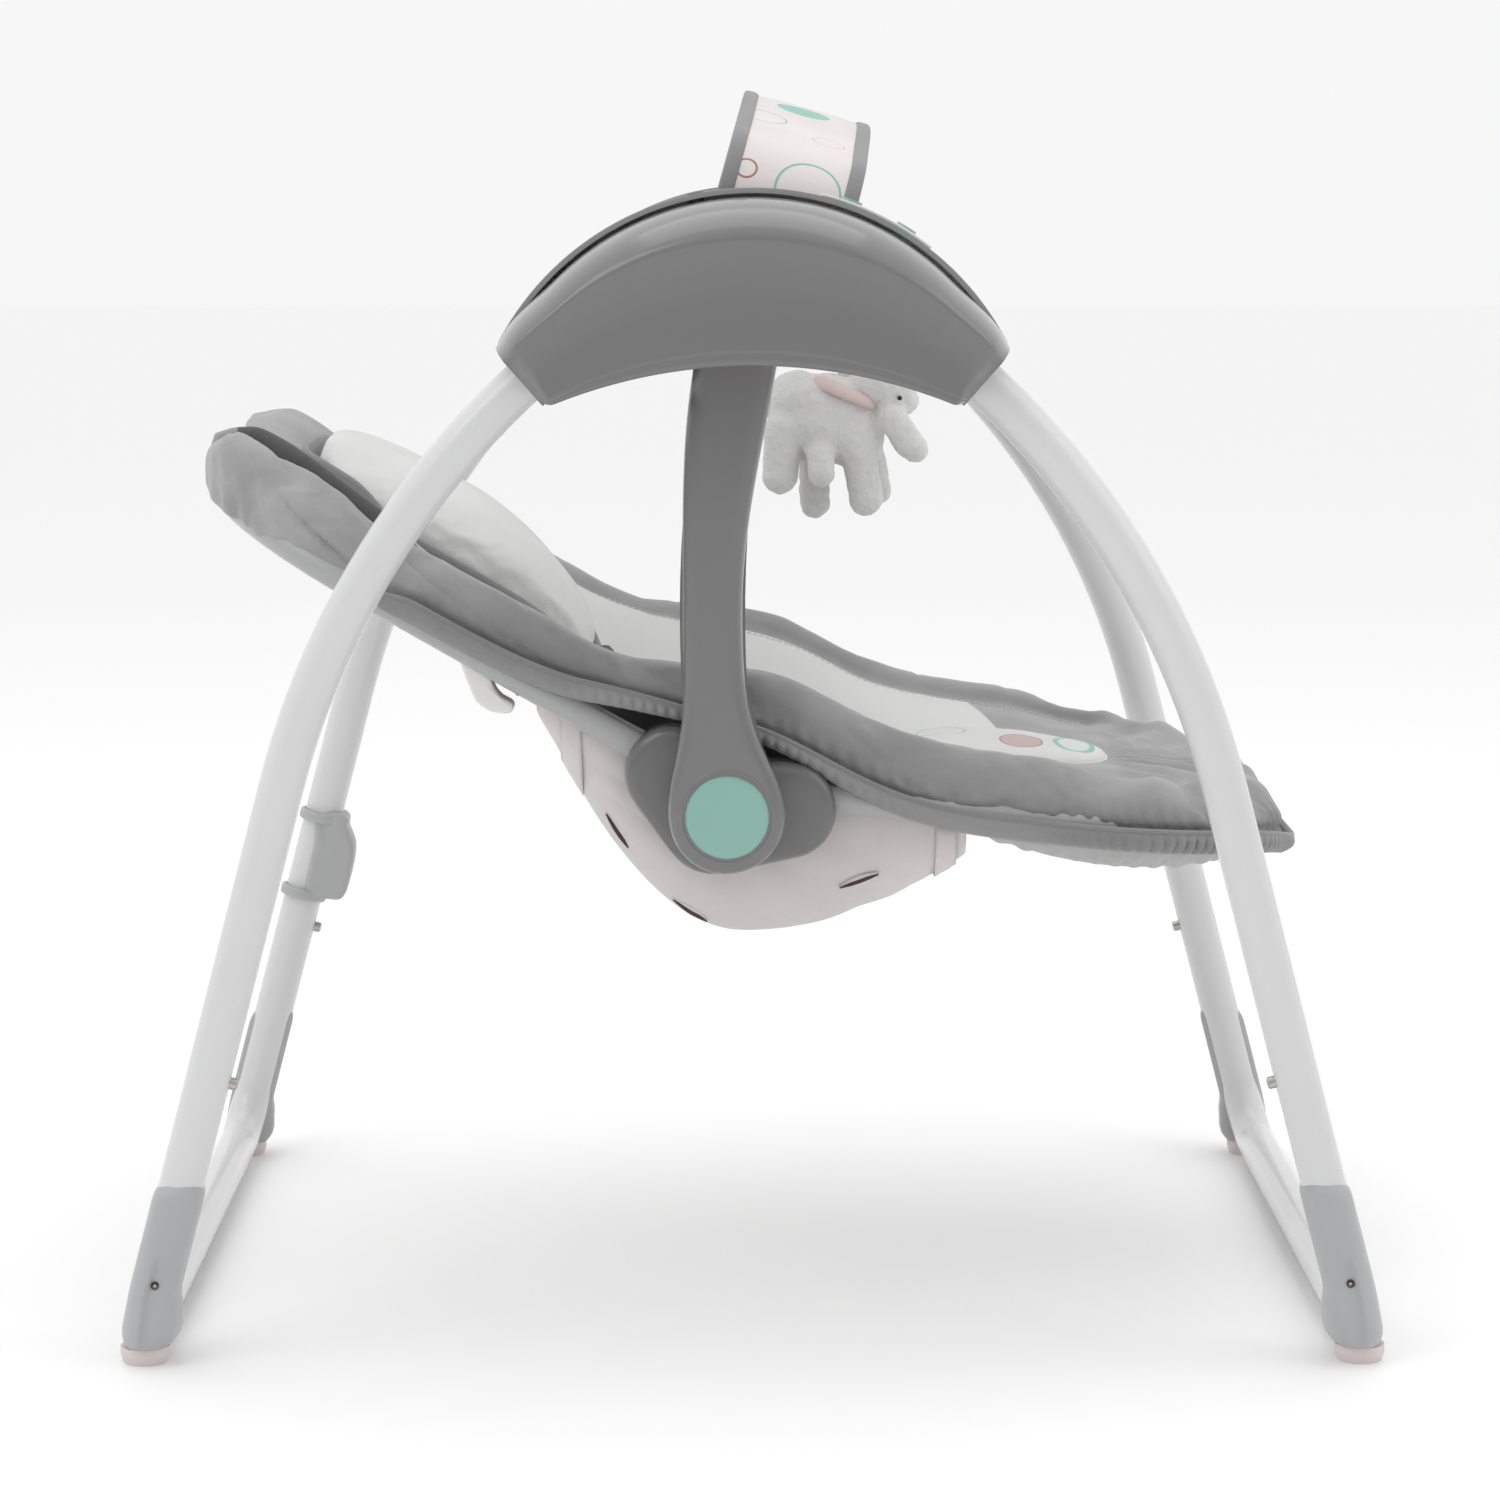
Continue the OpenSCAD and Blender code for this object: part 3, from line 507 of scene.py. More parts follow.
def sweep(path, side, up, sides=12, closed=False, power=2.0, lead=None):
    """Rings of an oval section carried along a path; side and up are its half sizes."""
    path = np.asarray(path, float)
    ahead = np.roll(path, -1, 0) - np.roll(path, 1, 0) if closed else np.gradient(path, axis=0)
    ahead /= np.linalg.norm(ahead, axis=1)[:, None]
    lead = np.array([0, 0, 1.0] if lead is None else lead, float)
    lead = np.broadcast_to(lead, path.shape)
    across = np.cross(ahead, lead)
    across /= np.linalg.norm(across, axis=1)[:, None] + 1e-9
    over = np.cross(across, ahead)
    side, up = (np.broadcast_to(np.asarray(s, float), len(path)) for s in (side, up))
    rings = []
    for a in angles(sides):
        c, s = math.cos(a), math.sin(a)
        c, s = (math.copysign(abs(v) ** (2 / power), v) for v in (c, s))
        rings.append(path + across * (side * c)[:, None] + over * (up * s)[:, None])
    points, faces = skin(np.stack(rings, 1), closed)
    return points, flip(faces)


def lathe_y(x, z, profile, sides):
    """Turns (radius, y) points about an axis along Y."""
    rings = [[(x + r * math.cos(a), y, z + r * math.sin(a)) for a in angles(sides)] for r, y in profile]
    return skin(rings)


def turned(name, place, profile, sides, side, look, body, slot=None, nodes=(), caps=True):
    """A turned piece at (x, z) on one side of the swing."""
    points, faces = lathe_y(*place, profile, sides)
    points, faces = sided(points, faces if caps else faces[:-2], side)
    make(name, points, flip(faces), look, body, slot, nodes)


def relax(outline, rounds):
    """Rounds the corners of a closed outline."""
    for _ in range(rounds):
        outline = (np.roll(outline, 1, 0) + outline * 2 + np.roll(outline, -1, 0)) / 4
    return outline


def inward_of(outline):
    t = np.roll(outline, -1, 0) - np.roll(outline, 1, 0)
    return np.stack([-t[:, 1], t[:, 0]], 1) / np.linalg.norm(t, axis=1)[:, None]


def hull_2d(points):
    """Convex outline, anticlockwise."""
    points = sorted(map(tuple, points))
    def half(items):
        out = []
        for p in items:
            while len(out) > 1 and ((out[-1][0] - out[-2][0]) * (p[1] - out[-2][1])
                                    <= (out[-1][1] - out[-2][1]) * (p[0] - out[-2][0])):
                out.pop()
            out.append(p)
        return out[:-1]
    return np.array(half(points) + half(points[::-1]))


def circle(x, z, r, n=64):
    a = angles(n)
    return np.stack([x + r * np.cos(a), z + r * np.sin(a)], 1)


def slab(outline, y0, y1, r, crown=0.0):
    """An outline in X and Z with a rounded outer edge at y1."""
    outline = np.asarray(outline, float)
    inward, centre = inward_of(outline), outline.mean(0)
    rings = [(outline, y0), (outline, lerp(y0, y1 - r, 0.6))]
    for a in np.linspace(0, math.pi / 2, 7):
        rings.append((outline + inward * r * (1 - math.cos(a)), y1 - r + r * math.sin(a)))
    inner = rings[-1][0]
    for s in (0.75, 0.5, 0.25, 0.04):
        rings.append((centre + (inner - centre) * s, y1 + crown * (1 - s * s)))
    rings = [np.stack([o[:, 0], np.full(len(o), y), o[:, 1]], 1) for o, y in rings]
    points, faces = skin(rings)
    return points, flip(faces)


add_looks()
add_studio()

# ---------- top housings ----------
TOP_R, TOP_Z, LOW_R, LOW_Z = 155, 499, 291, 272
END_A, END_LOW, JOINT_Y = math.radians(63), 115.9, 243.8


def housing_profile():
    """Half section of the outer shell, as |y| and share of the height, from its joint to its lower lip."""
    y = [242.6, 243.6, 244.6, 246.5, 255, 264, 272.5, 280, 286, 290.8, 294, 295.8, 296.5, 296.4, 295.8,
         294.8, 293.9, 293.3, 293.1, 293.3, 293.9, 294.8, 295.0, 294.4, 295.2, 295.4, 295, 293, 289]
    h = [0.995, 0.999, 1.001, 1.0, 0.998, 0.985, 0.962, 0.93, 0.892, 0.85, 0.81, 0.782, 0.76, 0.74, 0.715,
         0.68, 0.62, 0.53, 0.42, 0.31, 0.2, 0.115, 0.082, 0.07, 0.058, 0.03, 0.008, -0.004, 0.0]
    return np.array(y, float), np.array(h, float)


def housing_shell(side):
    name = "housing_outer_" + SIDE[side]
    prof_y, prof_h = housing_profile()
    rows = []
    for t in eased(91):
        end = soft((abs(t) - 0.9) / 0.1)
        a = END_A * t
        r = TOP_R + 4.6 * soft((abs(t) - 0.72) / 0.24)
        top = np.array([r * math.sin(a), TOP_Z + r * math.cos(a)])
        low_x = END_LOW * math.sin(a) / math.sin(END_A)
        low = np.array([low_x, LOW_Z + math.sqrt(LOW_R ** 2 - low_x ** 2) + 2.5 * end])
        fade = 1 - 0.55 * end
        y = JOINT_Y + (prof_y - JOINT_Y) * (1 - 0.16 * end ** 1.5)
        swollen = y - (1 - fade) * 2 + (1 - fade) * 3 * np.sin(np.clip(prof_h, 0, 1) * math.pi)
        y = np.where(prof_h < 0.74, swollen, y)
        xz = low[None] + (top - low)[None] * prof_h[:, None]
        rows.append(np.stack([xz[:, 0], y, xz[:, 1]], 1))
    points, faces = sided(*net(rows), side)
    shell = make(name, points, flip(faces), "housing_plastic", "top_frame", nodes=[name])
    thicken(shell, WALL, -1)
    subdivide(shell)
    shade_smooth(shell)


def outward(obj):
    """Makes the faces of a closed mesh look outwards."""
    shape = bmesh.new()
    shape.from_mesh(obj.data)
    bmesh.ops.recalc_face_normals(shape, faces=shape.faces)
    shape.to_mesh(obj.data)
    shape.free()


def end_walls(end, side):
    """Closes a housing's end on both sides of the leg, which comes out between them."""
    low, top = np.array([END_LOW - 0.6, 539.6]), np.array([138.6, 568.6])
    ahead = (top - low) / np.linalg.norm(top - low)
    inside = np.array([-ahead[1], ahead[0]])
    prof_y, prof_h = housing_profile()
    y = JOINT_Y + (prof_y - JOINT_Y) * 0.84 - 2.0
    edge = [(b, h) for b, h in zip(y, prof_h) if b > 275]
    outer = [(275, 0.02), (275, 0.96)] + edge
    inner = [(202, 0.02), (202, 0.97), (246, 0.97), (246, 0.02)]
    for tag, outline in (("outer", outer), ("inner", inner)):
        rings = []
        for depth in (0.8, 1.2, 3.0):
            ring = []
            for b, h in outline:
                x, z = low + (top - low) * min(max(h, 0.02), 0.96) + inside * depth
                ring.append((x * end, b * side, z))
            rings.append(ring)
        name = f"end_wall_{tag}_{END[end]}_{SIDE[side]}"
        wall = make(name, *skin(rings), "housing_plastic", "top_frame", smooth=False)
        modify(wall, "WELD", merge_threshold=WELD)
        apply_all(wall)
        outward(wall)


def soften(names, width, angle=35):
    """Rounds the edges of carried-over CAD pieces, whose shape is right."""
    for name in names:
        obj = frame["nodes"][name]
        modify(obj, "WELD", merge_threshold=WELD)
        bevel = modify(obj, "BEVEL", width=width * MM, segments=3, limit_method="ANGLE")
        bevel.angle_limit = math.radians(angle)
        shade_smooth(obj)


# ---------- swing arms ----------
HUB, AXLE = np.array([-14.4, 306.9]), np.array([0.0, 605.0])
BOW_R, ARM_OUT, ARM_IN, FOOT_R, HEAD_END_R = 775, 242.6, 217.2, 33, 22.8
BUTTON_R = 23.9


def arm_line():
    """Centre and heading of the bowed centre line, by distance above the hub."""
    chord = np.linalg.norm(AXLE - HUB)
    way = (AXLE - HUB) / chord
    bow = (HUB + AXLE) / 2 + np.array([way[1], -way[0]]) * math.sqrt(BOW_R ** 2 - chord ** 2 / 4)
    start = math.atan2(*(HUB - bow)[::-1])

    def at(d):
        a = start - d / BOW_R
        out = np.array([math.cos(a), math.sin(a)])
        return bow + BOW_R * out, out
    return at, BOW_R * 2 * math.asin(chord / 2 / BOW_R)


def swing_arm(side):
    """A bowed shell; its wall on the head side is cut back where it passes the battery cells."""
    name = "swing_arm_" + SIDE[side]
    at, length = arm_line()
    foot_turn, head_turn = np.linspace(math.pi / 2, 0, 22)[:-1], np.linspace(0, math.pi / 2, 12)[1:]
    stations = [(-FOOT_R * math.sin(a), FOOT_R * math.cos(a)) for a in foot_turn]
    for d in np.linspace(0, length, 80):
        w = 16.8 + 16.2 * math.exp(-(d / 42) ** 2) + 6 * soft((d - 120) / 130) * soft((285 - d) / 20)
        stations.append((d, w))
    stations += [(length + HEAD_END_R * math.sin(a), HEAD_END_R * math.cos(a)) for a in head_turn]
    u = eased(33)
    rows = []
    for d, w in stations:
        centre, out = at(d)
        across = u * max(w, 0.02)
        edge = w * (1 - np.abs(u))
        if d < 0:
            edge = FOOT_R - np.sqrt(d * d + across ** 2)
        if d > length:
            edge = HEAD_END_R - np.sqrt((d - length) ** 2 + across ** 2)
        relief = soft((d - 237) / 6) * soft((267 - d) / 6)
        r = lerp(6.6, 9.5, soft((d - 25) / 60))
        r = np.where(u > 0, lerp(r, 4.5, relief), r)
        e = np.clip(edge, 0, r)
        y = ARM_OUT - (r - np.sqrt(r * r - (r - e) ** 2)) - 0.25
        xz = centre[None] + out[None] * across[:, None]
        row = np.stack([xz[:, 0], y, xz[:, 1]], 1)
        first, last = row[:1].copy(), row[-1:].copy()
        first[:, 1], last[:, 1] = ARM_IN, lerp(ARM_IN, 237.0, relief)
        rows.append(np.vstack([first, row, last]))
    arm = make(name, *sided(*net(rows), side), "housing_plastic", "swing_arms", nodes=[name])
    modify(arm, "WELD", merge_threshold=WELD)
    thicken(arm, WALL, -1)
    bezel(side)
    button(side)


def bezel(side):
    """The raised lip and the dark gap round a recline button; the gap's floor is a black ring of painted
    shade.
    """
    y = ARM_OUT
    lip = [(25.0, y - 3), (25.0, y - 0.2), (25.3, y + 0.15), (26.0, y + 0.2), (27.2, y - 0.1),
           (28.2, y - 1.4), (27, y - 3)]
    gap = [(23.0, y - 3.5), (23.0, y - 1.6), (25.2, y - 1.6), (25.2, y - 3.5)]
    parts = ("button_lip_", "housing_plastic", lip), ("button_gap_", "black_plastic", gap)
    for name, look, profile in parts:
        turned(name + SIDE[side], HUB, profile, 96, side, look, "swing_arms", caps=False)


def button(side):
    name = "recline_button_" + SIDE[side]
    y = ARM_OUT + 0.8
    r = BUTTON_R
    profile = [(0.02, 231), (r - 0.4, 231), (r, 232), (r, y - 2.4), (r - 0.25, y - 1.3),
               (r - 0.9, y - 0.45), (r - 1.9, y), (r - 4, y + 0.1), (r * 0.6, y + 0.3),
               (r * 0.3, y + 0.45), (0.02, y + 0.5)]
    turned(name, HUB, profile, 96, side, "mint_plastic", name, nodes=[name])


def hub(side):
    name = "hub_" + SIDE[side]
    outline = hull_2d(np.vstack([circle(-45, 327, 28), circle(20, 306, 28), circle(-22, 299, 30)]))
    outline = resample(outline, 3, closed=True)
    dip = gauss(outline[:, 0] + 8, 20) * (outline[:, 1] > 318)
    outline[:, 1] -= 9 * dip
    make(name, *sided(*slab(outline, 186, 213.2, 7, 0.8), side), "hub_plastic", "seat", nodes=[name])


# ---------- feet and clip ----------
TUBE_Y, LEG_LEAN, LEG_FROM_Z = 257, 0.262, 100


def foot_cover(end, side):
    """A boot over the tube's corner: rounded top, flared toe and a creased side with a small screw."""
    body = END[end] + "_frame"
    name = f"{END[end]}_foot_{SIDE[side]}"
    rings = []
    dome_steps, toe_steps = [0.001, 0.005, 0.013, 0.026, 0.045, 0.07, 0.1, 0.13], [0.94, 0.97, 0.99, 1.0]
    for t in np.concatenate([dome_steps, np.linspace(0.17, 0.9, 24), toe_steps]):
        z = lerp(107.0, 9.8, t)
        flare = soft((t - 0.62) / 0.36)
        lean = LEG_LEAN * (LEG_FROM_Z - z)
        left = 308.4 + lean - 3.5 * soft((42 - z) / 14) - 3.0 * soft((30 - z) / 16)
        right = 337.7 + lean - 1.6 * flare
        out = lerp(276.5, 279, t) + 10.5 * soft((t - 0.35) / 0.65)
        dome = math.sqrt(max(0, 1 - (1 - min(1, t / 0.15)) ** 2.3))
        toe = math.sqrt(max(0.0, 1 - max(0, (t - 0.88) / 0.12) ** 2 * 0.42))
        pinch = max(0.03, dome) * toe
        centre = lerp(left, right, 0.5)
        half = (right - left) / 2 * pinch
        b_out, b_in = (out - TUBE_Y) * pinch, 5 * pinch
        ring = []
        for a in angles(72):
            c, s = math.cos(a), math.sin(a)
            p = 2 / 2.5
            x = centre + half * math.copysign(abs(c) ** p, c)
            y = TUBE_Y + (b_out if s > 0 else b_in) * math.copysign(abs(s) ** p, s)
            crease = 2.6 * soft((0.17 - c) / 0.06) * soft((c + 0.95) / 0.7)
            crease *= soft((t - 0.44) / 0.08) * (s > 0) * soft((1 - t) / 0.1)
            ring.append((x, y - crease, z))
        rings.append(ring)
    points, faces = skin(rings)
    points = np.array(points)
    points[:, 0] *= end
    if end == REAR:
        faces = flip(faces)
    points, faces = sided(points, faces, side)
    make(name, points, flip(faces), "foot_plastic", body, nodes=[name])
    place = (336.3 * end, 47)
    # The well is a recess round the screw head, painted near-black as shade.
    well = [(0.02, 277), (2.3, 277), (2.3, 280.3), (1.8, 280.6), (1.5, 279.2), (0.02, 279.2)]
    head = [(0.02, 279), (1.2, 279), (1.2, 279.5), (0.7, 279.8), (0.02, 279.7)]
    screws = [END[end] + "_foot_screws"] if side == NEAR else []
    for tag, profile, look, slot, nodes in (("well", well, "slit", "foot_plastic", []),
                                            ("screw", head, "steel", "steel", screws)):
        turned(name.replace("foot", "foot_" + tag), place, profile, 24, side, look, body, slot, nodes)


def pillow_slab(outline, middle_y, half, r):
    """An outline in X and Z, thick along Y, with both of its faces rounded at the edge."""
    outline = relax(resample(outline, 1.5, closed=True), 3)
    inward, centre, rings = inward_of(outline), outline.mean(0), []
    for s in (0.04, 0.5, 0.8):
        rings.append((centre + (outline + inward * r - centre) * s, -half))
    for a in np.linspace(-math.pi / 2, math.pi / 2, 11):
        rings.append((outline + inward * r * (1 - math.cos(a)), (half - r) * np.sign(a) + r * math.sin(a)))
    rings += [(o, -y) for o, y in rings[2::-1]]
    return skin([np.stack([o[:, 0], np.full(len(o), middle_y + y), o[:, 1]], 1) for o, y in rings])


def storage_clip():
    """Clip on the far rear leg that holds it when folded: a rounded jaw between two bands."""
    jaw = [(-292, 236.5), (-283, 239), (-275, 239), (-269.9, 236), (-268.8, 232.8), (-270.6, 229.5),
           (-268, 223.5), (-265.7, 216.9), (-265.9, 209), (-268.1, 197.5), (-272.3, 182.3),
           (-275.6, 178.9), (-281, 179.4), (-287.5, 180), (-291, 178), (-297, 178.6), (-300.5, 184),
           (-296.6, 201), (-292.6, 218)]
    clip = make("storage_clip", *pillow_slab(jaw[::-1], TUBE_Y, 13.6, 3.4), "foot_plastic", "rear_frame",
                nodes=["storage_clip"])
    outward(clip)
    up = np.array([0.2535, 0, 0.9673])
    side = np.array([up[2], 0, -up[0]])
    section = [(12.9, -3.2), (14.9, -3.2), (15.5, -2.4), (15.6, 0), (15.5, 2.4), (14.9, 3.2), (12.9, 3.2)]
    for k, z in enumerate((183.2, 234.8)):
        middle_point = np.array([-322.95 + LEG_LEAN * (z - LEG_FROM_Z), TUBE_Y, z])
        rings = []
        for a in angles(64):
            rings.append([middle_point + up * h + (side * math.cos(a) + np.array([0, math.sin(a), 0])) * r
                          for r, h in section])
        outward(make(f"clip_band_{k}", *net(rings, True, True), "foot_plastic", "rear_frame"))


# ---------- soft seat: the same surfaces as the CAD's ----------
GROUND = []
SKY, STITCH_IN, PANEL_W, PANEL_END = 0.75, 50, 70.0, 150
CLIP_Y, SLING_W, SLOT_LIFT = 184.0, 183.5, 1.5
HEAD_X, TIP_X, COVER_W, HEAD_R, TIP_R = -326.0, 327.0, 207.0, 110.0, 143.0
TAN_BACK, TAN_REST = math.tan(math.radians(29.7)), math.tan(math.radians(5.7))


def tube_line(x):
    a, b = 329.4 - (x + 45) * TAN_BACK, 313 - (x - 20) * TAN_REST
    return 8 * np.log(np.exp((a - 300) / 8) + np.exp((b - 300) / 8)) + 300


def base_line(x):
    return tube_line(x) - 22 * np.clip((x - 270) / 64, 0, None) ** 2


def seam_lift(x):
    return 11 * soft((x + 275) / 60) * soft((-10 - x) / 80)


def rim(x):
    ends = 12 * soft((-200 - x) / 80) + 9 * soft((x - 275) / 52)
    return base_line(x) + 38 * gauss(x + 10, 75) + ends + seam_lift(x)


def bolster(x):
    return 24 + 14 * soft((-60 - x) / 80) + 8 * soft((x + 30) / 60) * soft((215 - x) / 50) - seam_lift(x)


def middle(x):
    return base_line(x) + 30 - 16 * soft((x - 40) / 120) - 100 * gauss(x + 5, 80)


def round_end(past, r):
    """Half width of an end with corner radius r, by how far x is past the start of its corner."""
    return COVER_W - r + np.sqrt(np.clip(r ** 2 - np.clip(past, 0, None) ** 2, 0, None))


def half_w(x):
    return np.minimum(round_end(HEAD_X + HEAD_R - x, HEAD_R), round_end(x - TIP_X + TIP_R, TIP_R))


def bowl(x, v):
    return lerp(middle(x), rim(x) + bolster(x) * 0.62, soft((v - 0.25) / 0.58))


def inset(x, y):
    """How far inside the seat's edge a point of the plan lies, measured sideways towards the head."""
    y = np.abs(y)
    depth = np.minimum(COVER_W - y, TIP_X - x)
    side = y - COVER_W + TIP_R
    end = x - TIP_X + TIP_R
    round_depth = TIP_R - np.hypot(np.clip(end, 0, None), np.clip(side, 0, None))
    depth = np.where((end > 0) & (side > 0), round_depth, depth)
    return np.where(x < 0, COVER_W * (1 - y / half_w(x)), depth)


def cover_top(x, y):
    """Top of the padded cover: a bowl inside a rolled bolster that thins round the two ends."""
    v, depth = np.abs(y) / COVER_W, inset(x, y)
    across = soft((v - 0.3) / 0.4)
    share = lerp(lerp(0.55, 1, across), 0.98, soft((x - 225) / 60))
    high = bolster(x) * share * lerp(1, 0.84, soft((x - 236) / 90))
    roll = np.clip(depth / 24 - 1, -1, 0)
    round_top = rim(x) + high * np.sqrt(np.clip(1 - roll ** 2, 0, 1)) ** 0.8
    dish = bowl(x, v * COVER_W / np.maximum(half_w(x), 60))
    dish = np.minimum(dish, rim(x) + high + 14 * soft((depth - 40) / 60))
    lip = rim(x) + bolster(x) + 7 - 0.22 * (depth - 46)
    dish = lerp(dish, np.maximum(dish, lip), soft((-170 - x) / 50))
    top = lerp(round_top, dish, soft((depth - 32) / 14))
    end = np.sqrt(np.clip(1 - np.clip(1 - (x - HEAD_X) / 52, 0, 1) ** 2.2, 0, 1))
    return rim(x) + (top - rim(x)) * end


def rim_loop(step, out=0.0):
    """The seat's edge in plan, as x and y, anticlockwise, with an outward normal for each point."""
    x = np.concatenate([HEAD_X + HEAD_R * (1 - np.cos(np.linspace(0, math.pi / 2, 40))),
                        np.linspace(HEAD_X + HEAD_R, TIP_X - TIP_R, 120)[1:-1],
                        TIP_X - TIP_R + TIP_R * np.sin(np.linspace(0, math.pi / 2, 50))])
    near = np.stack([x, -half_w(x)], 1)
    loop = resample(np.vstack([near, near[::-1] * [1, -1]]), step, closed=True)
    ahead = np.roll(loop, -1, 0) - np.roll(loop, 1, 0)
    normal = np.stack([ahead[:, 1], -ahead[:, 0]], 1) / np.linalg.norm(ahead, axis=1)[:, None]
    return loop + normal * out, normal


def cover_base():
    """A closed pad a little smaller than the finished one, for the cloth to swell."""
    x = np.concatenate([HEAD_X + 4 + (HEAD_R - 4) * (1 - np.cos(np.linspace(0.03, math.pi / 2, 22))),
                        np.linspace(HEAD_X + HEAD_R, TIP_X - TIP_R, 70)[1:-1],
                        TIP_X - TIP_R + (TIP_R - 2) * np.sin(np.linspace(0, math.pi / 2 - 0.02, 30))])
    v = eased(81)
    rings = []
    for s in x:
        w, a = half_w(s) - 4, np.abs(v)
        top = cover_top(s, v * w * (half_w(s) / max(w, 1))) - 2.5
        hem = rim(s) - 8 + 5 * math.exp(-((s + 20) / 65) ** 2) - 8 * soft((-185 - s) / 40) * a ** 4
        low = np.where(a > 0.8, hem, np.minimum(bowl(s, a) - 14, hem))
        top = np.maximum(top, low + 3)
        upper = np.stack([np.full(len(v), s), v * w, top], 1)
        under = np.stack([np.full(len(v) - 2, s), v[1:-1] * w, low[1:-1]], 1)[::-1]
        rings.append(np.vstack([upper, under]))
    return skin(rings)


def swell(obj, voxel, cap, pressure=4.0, frames=20):
    """Cloth with inner pressure, its movement capped, applied; then one subdivision."""
    modify(obj, "REMESH", mode="VOXEL", voxel_size=voxel * MM)
    apply_all(obj)
    start = coords(obj)
    cloth_mod = obj.modifiers.new("cloth", "CLOTH")
    cloth_mod.settings.use_pressure = True
    cloth_mod.settings.uniform_pressure_force = pressure
    cloth_mod.settings.effector_weights.gravity = 0
    cloth_mod.settings.quality = 5
    cloth_mod.point_cache.frame_end = frames
    for f in range(1, frames + 1):
        scene.frame_set(f)
    apply_all(obj)
    scene.frame_set(1)
    move = coords(obj) - start
    far = np.linalg.norm(move, axis=1)[:, None] + 1e-9
    set_coords(obj, start + move * np.minimum(1, cap / far))
    subdivide(obj)
    shade_smooth(obj)


def sculpt_cover(obj):
    """Seams, the head's fold and pockets, gathers and pleats, pressed into the swollen pad."""
    p, n = coords(obj), normals(obj)
    x, y, z = p.T
    depth = inset(x, y)
    up = soft((n[:, 2] + 0.2) / 0.5)
    edge = soft((46 - depth) / 20)
    head, wings = soft((-150 - x) / 60), soft((np.abs(y) - 60) / 30)
    deep = 4.5 + 17 * head * wings
    push = -deep * gauss(depth - 44, 4.2 + 1.5 * head) * up * soft((250 - x) / 30) * soft((x + 322) / 20)
    wrinkle = fuzz(np.stack([x, y * 0.35, z * 0.5], 1), 15, 3.1)
    creases = np.abs(fuzz(np.stack([x * 0.8 + z * 0.9, y * 0.4, z * 0.2], 1), 24, 8.4))
    calm = 1 - 0.8 * soft((-285 - x) / 25)
    push += edge * calm * (wrinkle * (0.7 + 0.9 * head) - np.clip(0.13 - creases, 0, 1) * (6 + 16 * head))
    push += (1 - edge) * fuzz(p, 38, 5.5) * 1.4 * up
    fan = np.arctan2(y, x - 190)
    pleat = soft((x - 214) / 24) * up * soft((depth - 6) / 20)
    push += pleat * (2.4 * np.cos(fan * 19 + 0.8 * np.sin(fan * 5)) + 1.2 * fuzz(p, 12, 1.7))
    push += gathers(x, y, z, depth)
    push -= 2.4 * gauss(z - rim(x), 2.2) * soft((16 - depth) / 8) * soft((x + 225) / 40)
    p = p + n * push[:, None]
    peak = gauss(x + 290, 15) * gauss(np.abs(y) - 146, 16) * up
    p[:, 2] += 7 * peak
    p[:, 0] -= 4 * peak
    p[:, 2] -= 15 * soft((y - 100) / 45) * soft((-205 - x) / 50) * up
    set_coords(obj, p)
    tone_cover(obj, x, y, depth, n)


def gathers(x, y, z, depth):
    """Short folds that run down from the bolster's crown to the seam, finest at the foot end."""
    along = np.where(np.abs(y) > 120, x, y)
    fold = np.cos(along / 1.6 + 1.5 * np.sin(along / 17)) * (0.5 + 0.4 * np.sin(along / 29))
    fold = fold * (1 + 0.9 * soft((x - 30) / 70))
    at_seam = 1 - 0.75 * gauss(z - rim(x), 4)
    return fold * at_seam * soft((rim(x) + 17 - z) / 15) * soft((22 - depth) / 8)


def tone_cover(obj, x, y, depth, n):
    """Writes how far each point is inside the white pad, inside the band of painted shadow along the
    head's fold, and, for painted shade, how far it is inside the cover's edge (more at the head), in
    metres.
    """
    lobe = PANEL_W - np.hypot(y, np.clip(x - PANEL_END, 0, None))
    white = np.minimum(depth - 47, np.maximum(166 - x - 0.0009 * y ** 2, lobe))
    white = np.minimum(white, x + 150)
    white = np.where(n[:, 2] < 0.1, -20, white)
    # Painted shadow in the groove of the head's fold.
    crease_shade = 9 - np.abs(depth - 51)
    crease_shade = np.where((x < -152) & (x > -300) & (n[:, 2] > -0.5), crease_shade, -20)
    # The third value drives painted shade near the cover's edge; the added term keeps that shade off the
    # head.
    values = np.stack([white * MM, crease_shade * MM, (depth + 60 * soft((-170 - x) / 60)) * MM], 1)
    store(obj, "cover_tone", values)


def on_cover(x, y):
    """Height of the finished cover under a point, found by a ray from above."""
    hit = GROUND[0].ray_cast(Vector((x * MM, y * MM, SKY)), Vector((0, 0, -1)))[0]
    return hit.z / MM if hit else float(rim(np.float64(x)))


def seat_cover():
    cover = make("seat_cover", *cover_base(), "velour", "seat", nodes=["seat_cover"])
    swell(cover, 4.6, 5.0)
    sculpt_cover(cover)
    bpy.context.view_layer.update()
    GROUND[:] = [BVHTree.FromObject(cover, bpy.context.evaluated_depsgraph_get())]
    piping()
    hem_band()
    stitches()


def tuck(loop):
    """How far the seam is pulled in and down, where the head's thick wings wrap round it."""
    return soft((-190 - loop[:, 0]) / 45) + 0.12 * soft((loop[:, 0] - 280) / 30)


def piping():
    loop, normal = rim_loop(2.5, 0.6)
    hide = tuck(loop)
    path = np.column_stack([loop - normal * 11 * hide[:, None], rim(loop[:, 0]) + 0.2 - 13 * hide])
    make("cover_piping", *sweep(path, 1.7, 1.7, 10, True), "binding", "seat", "velour")


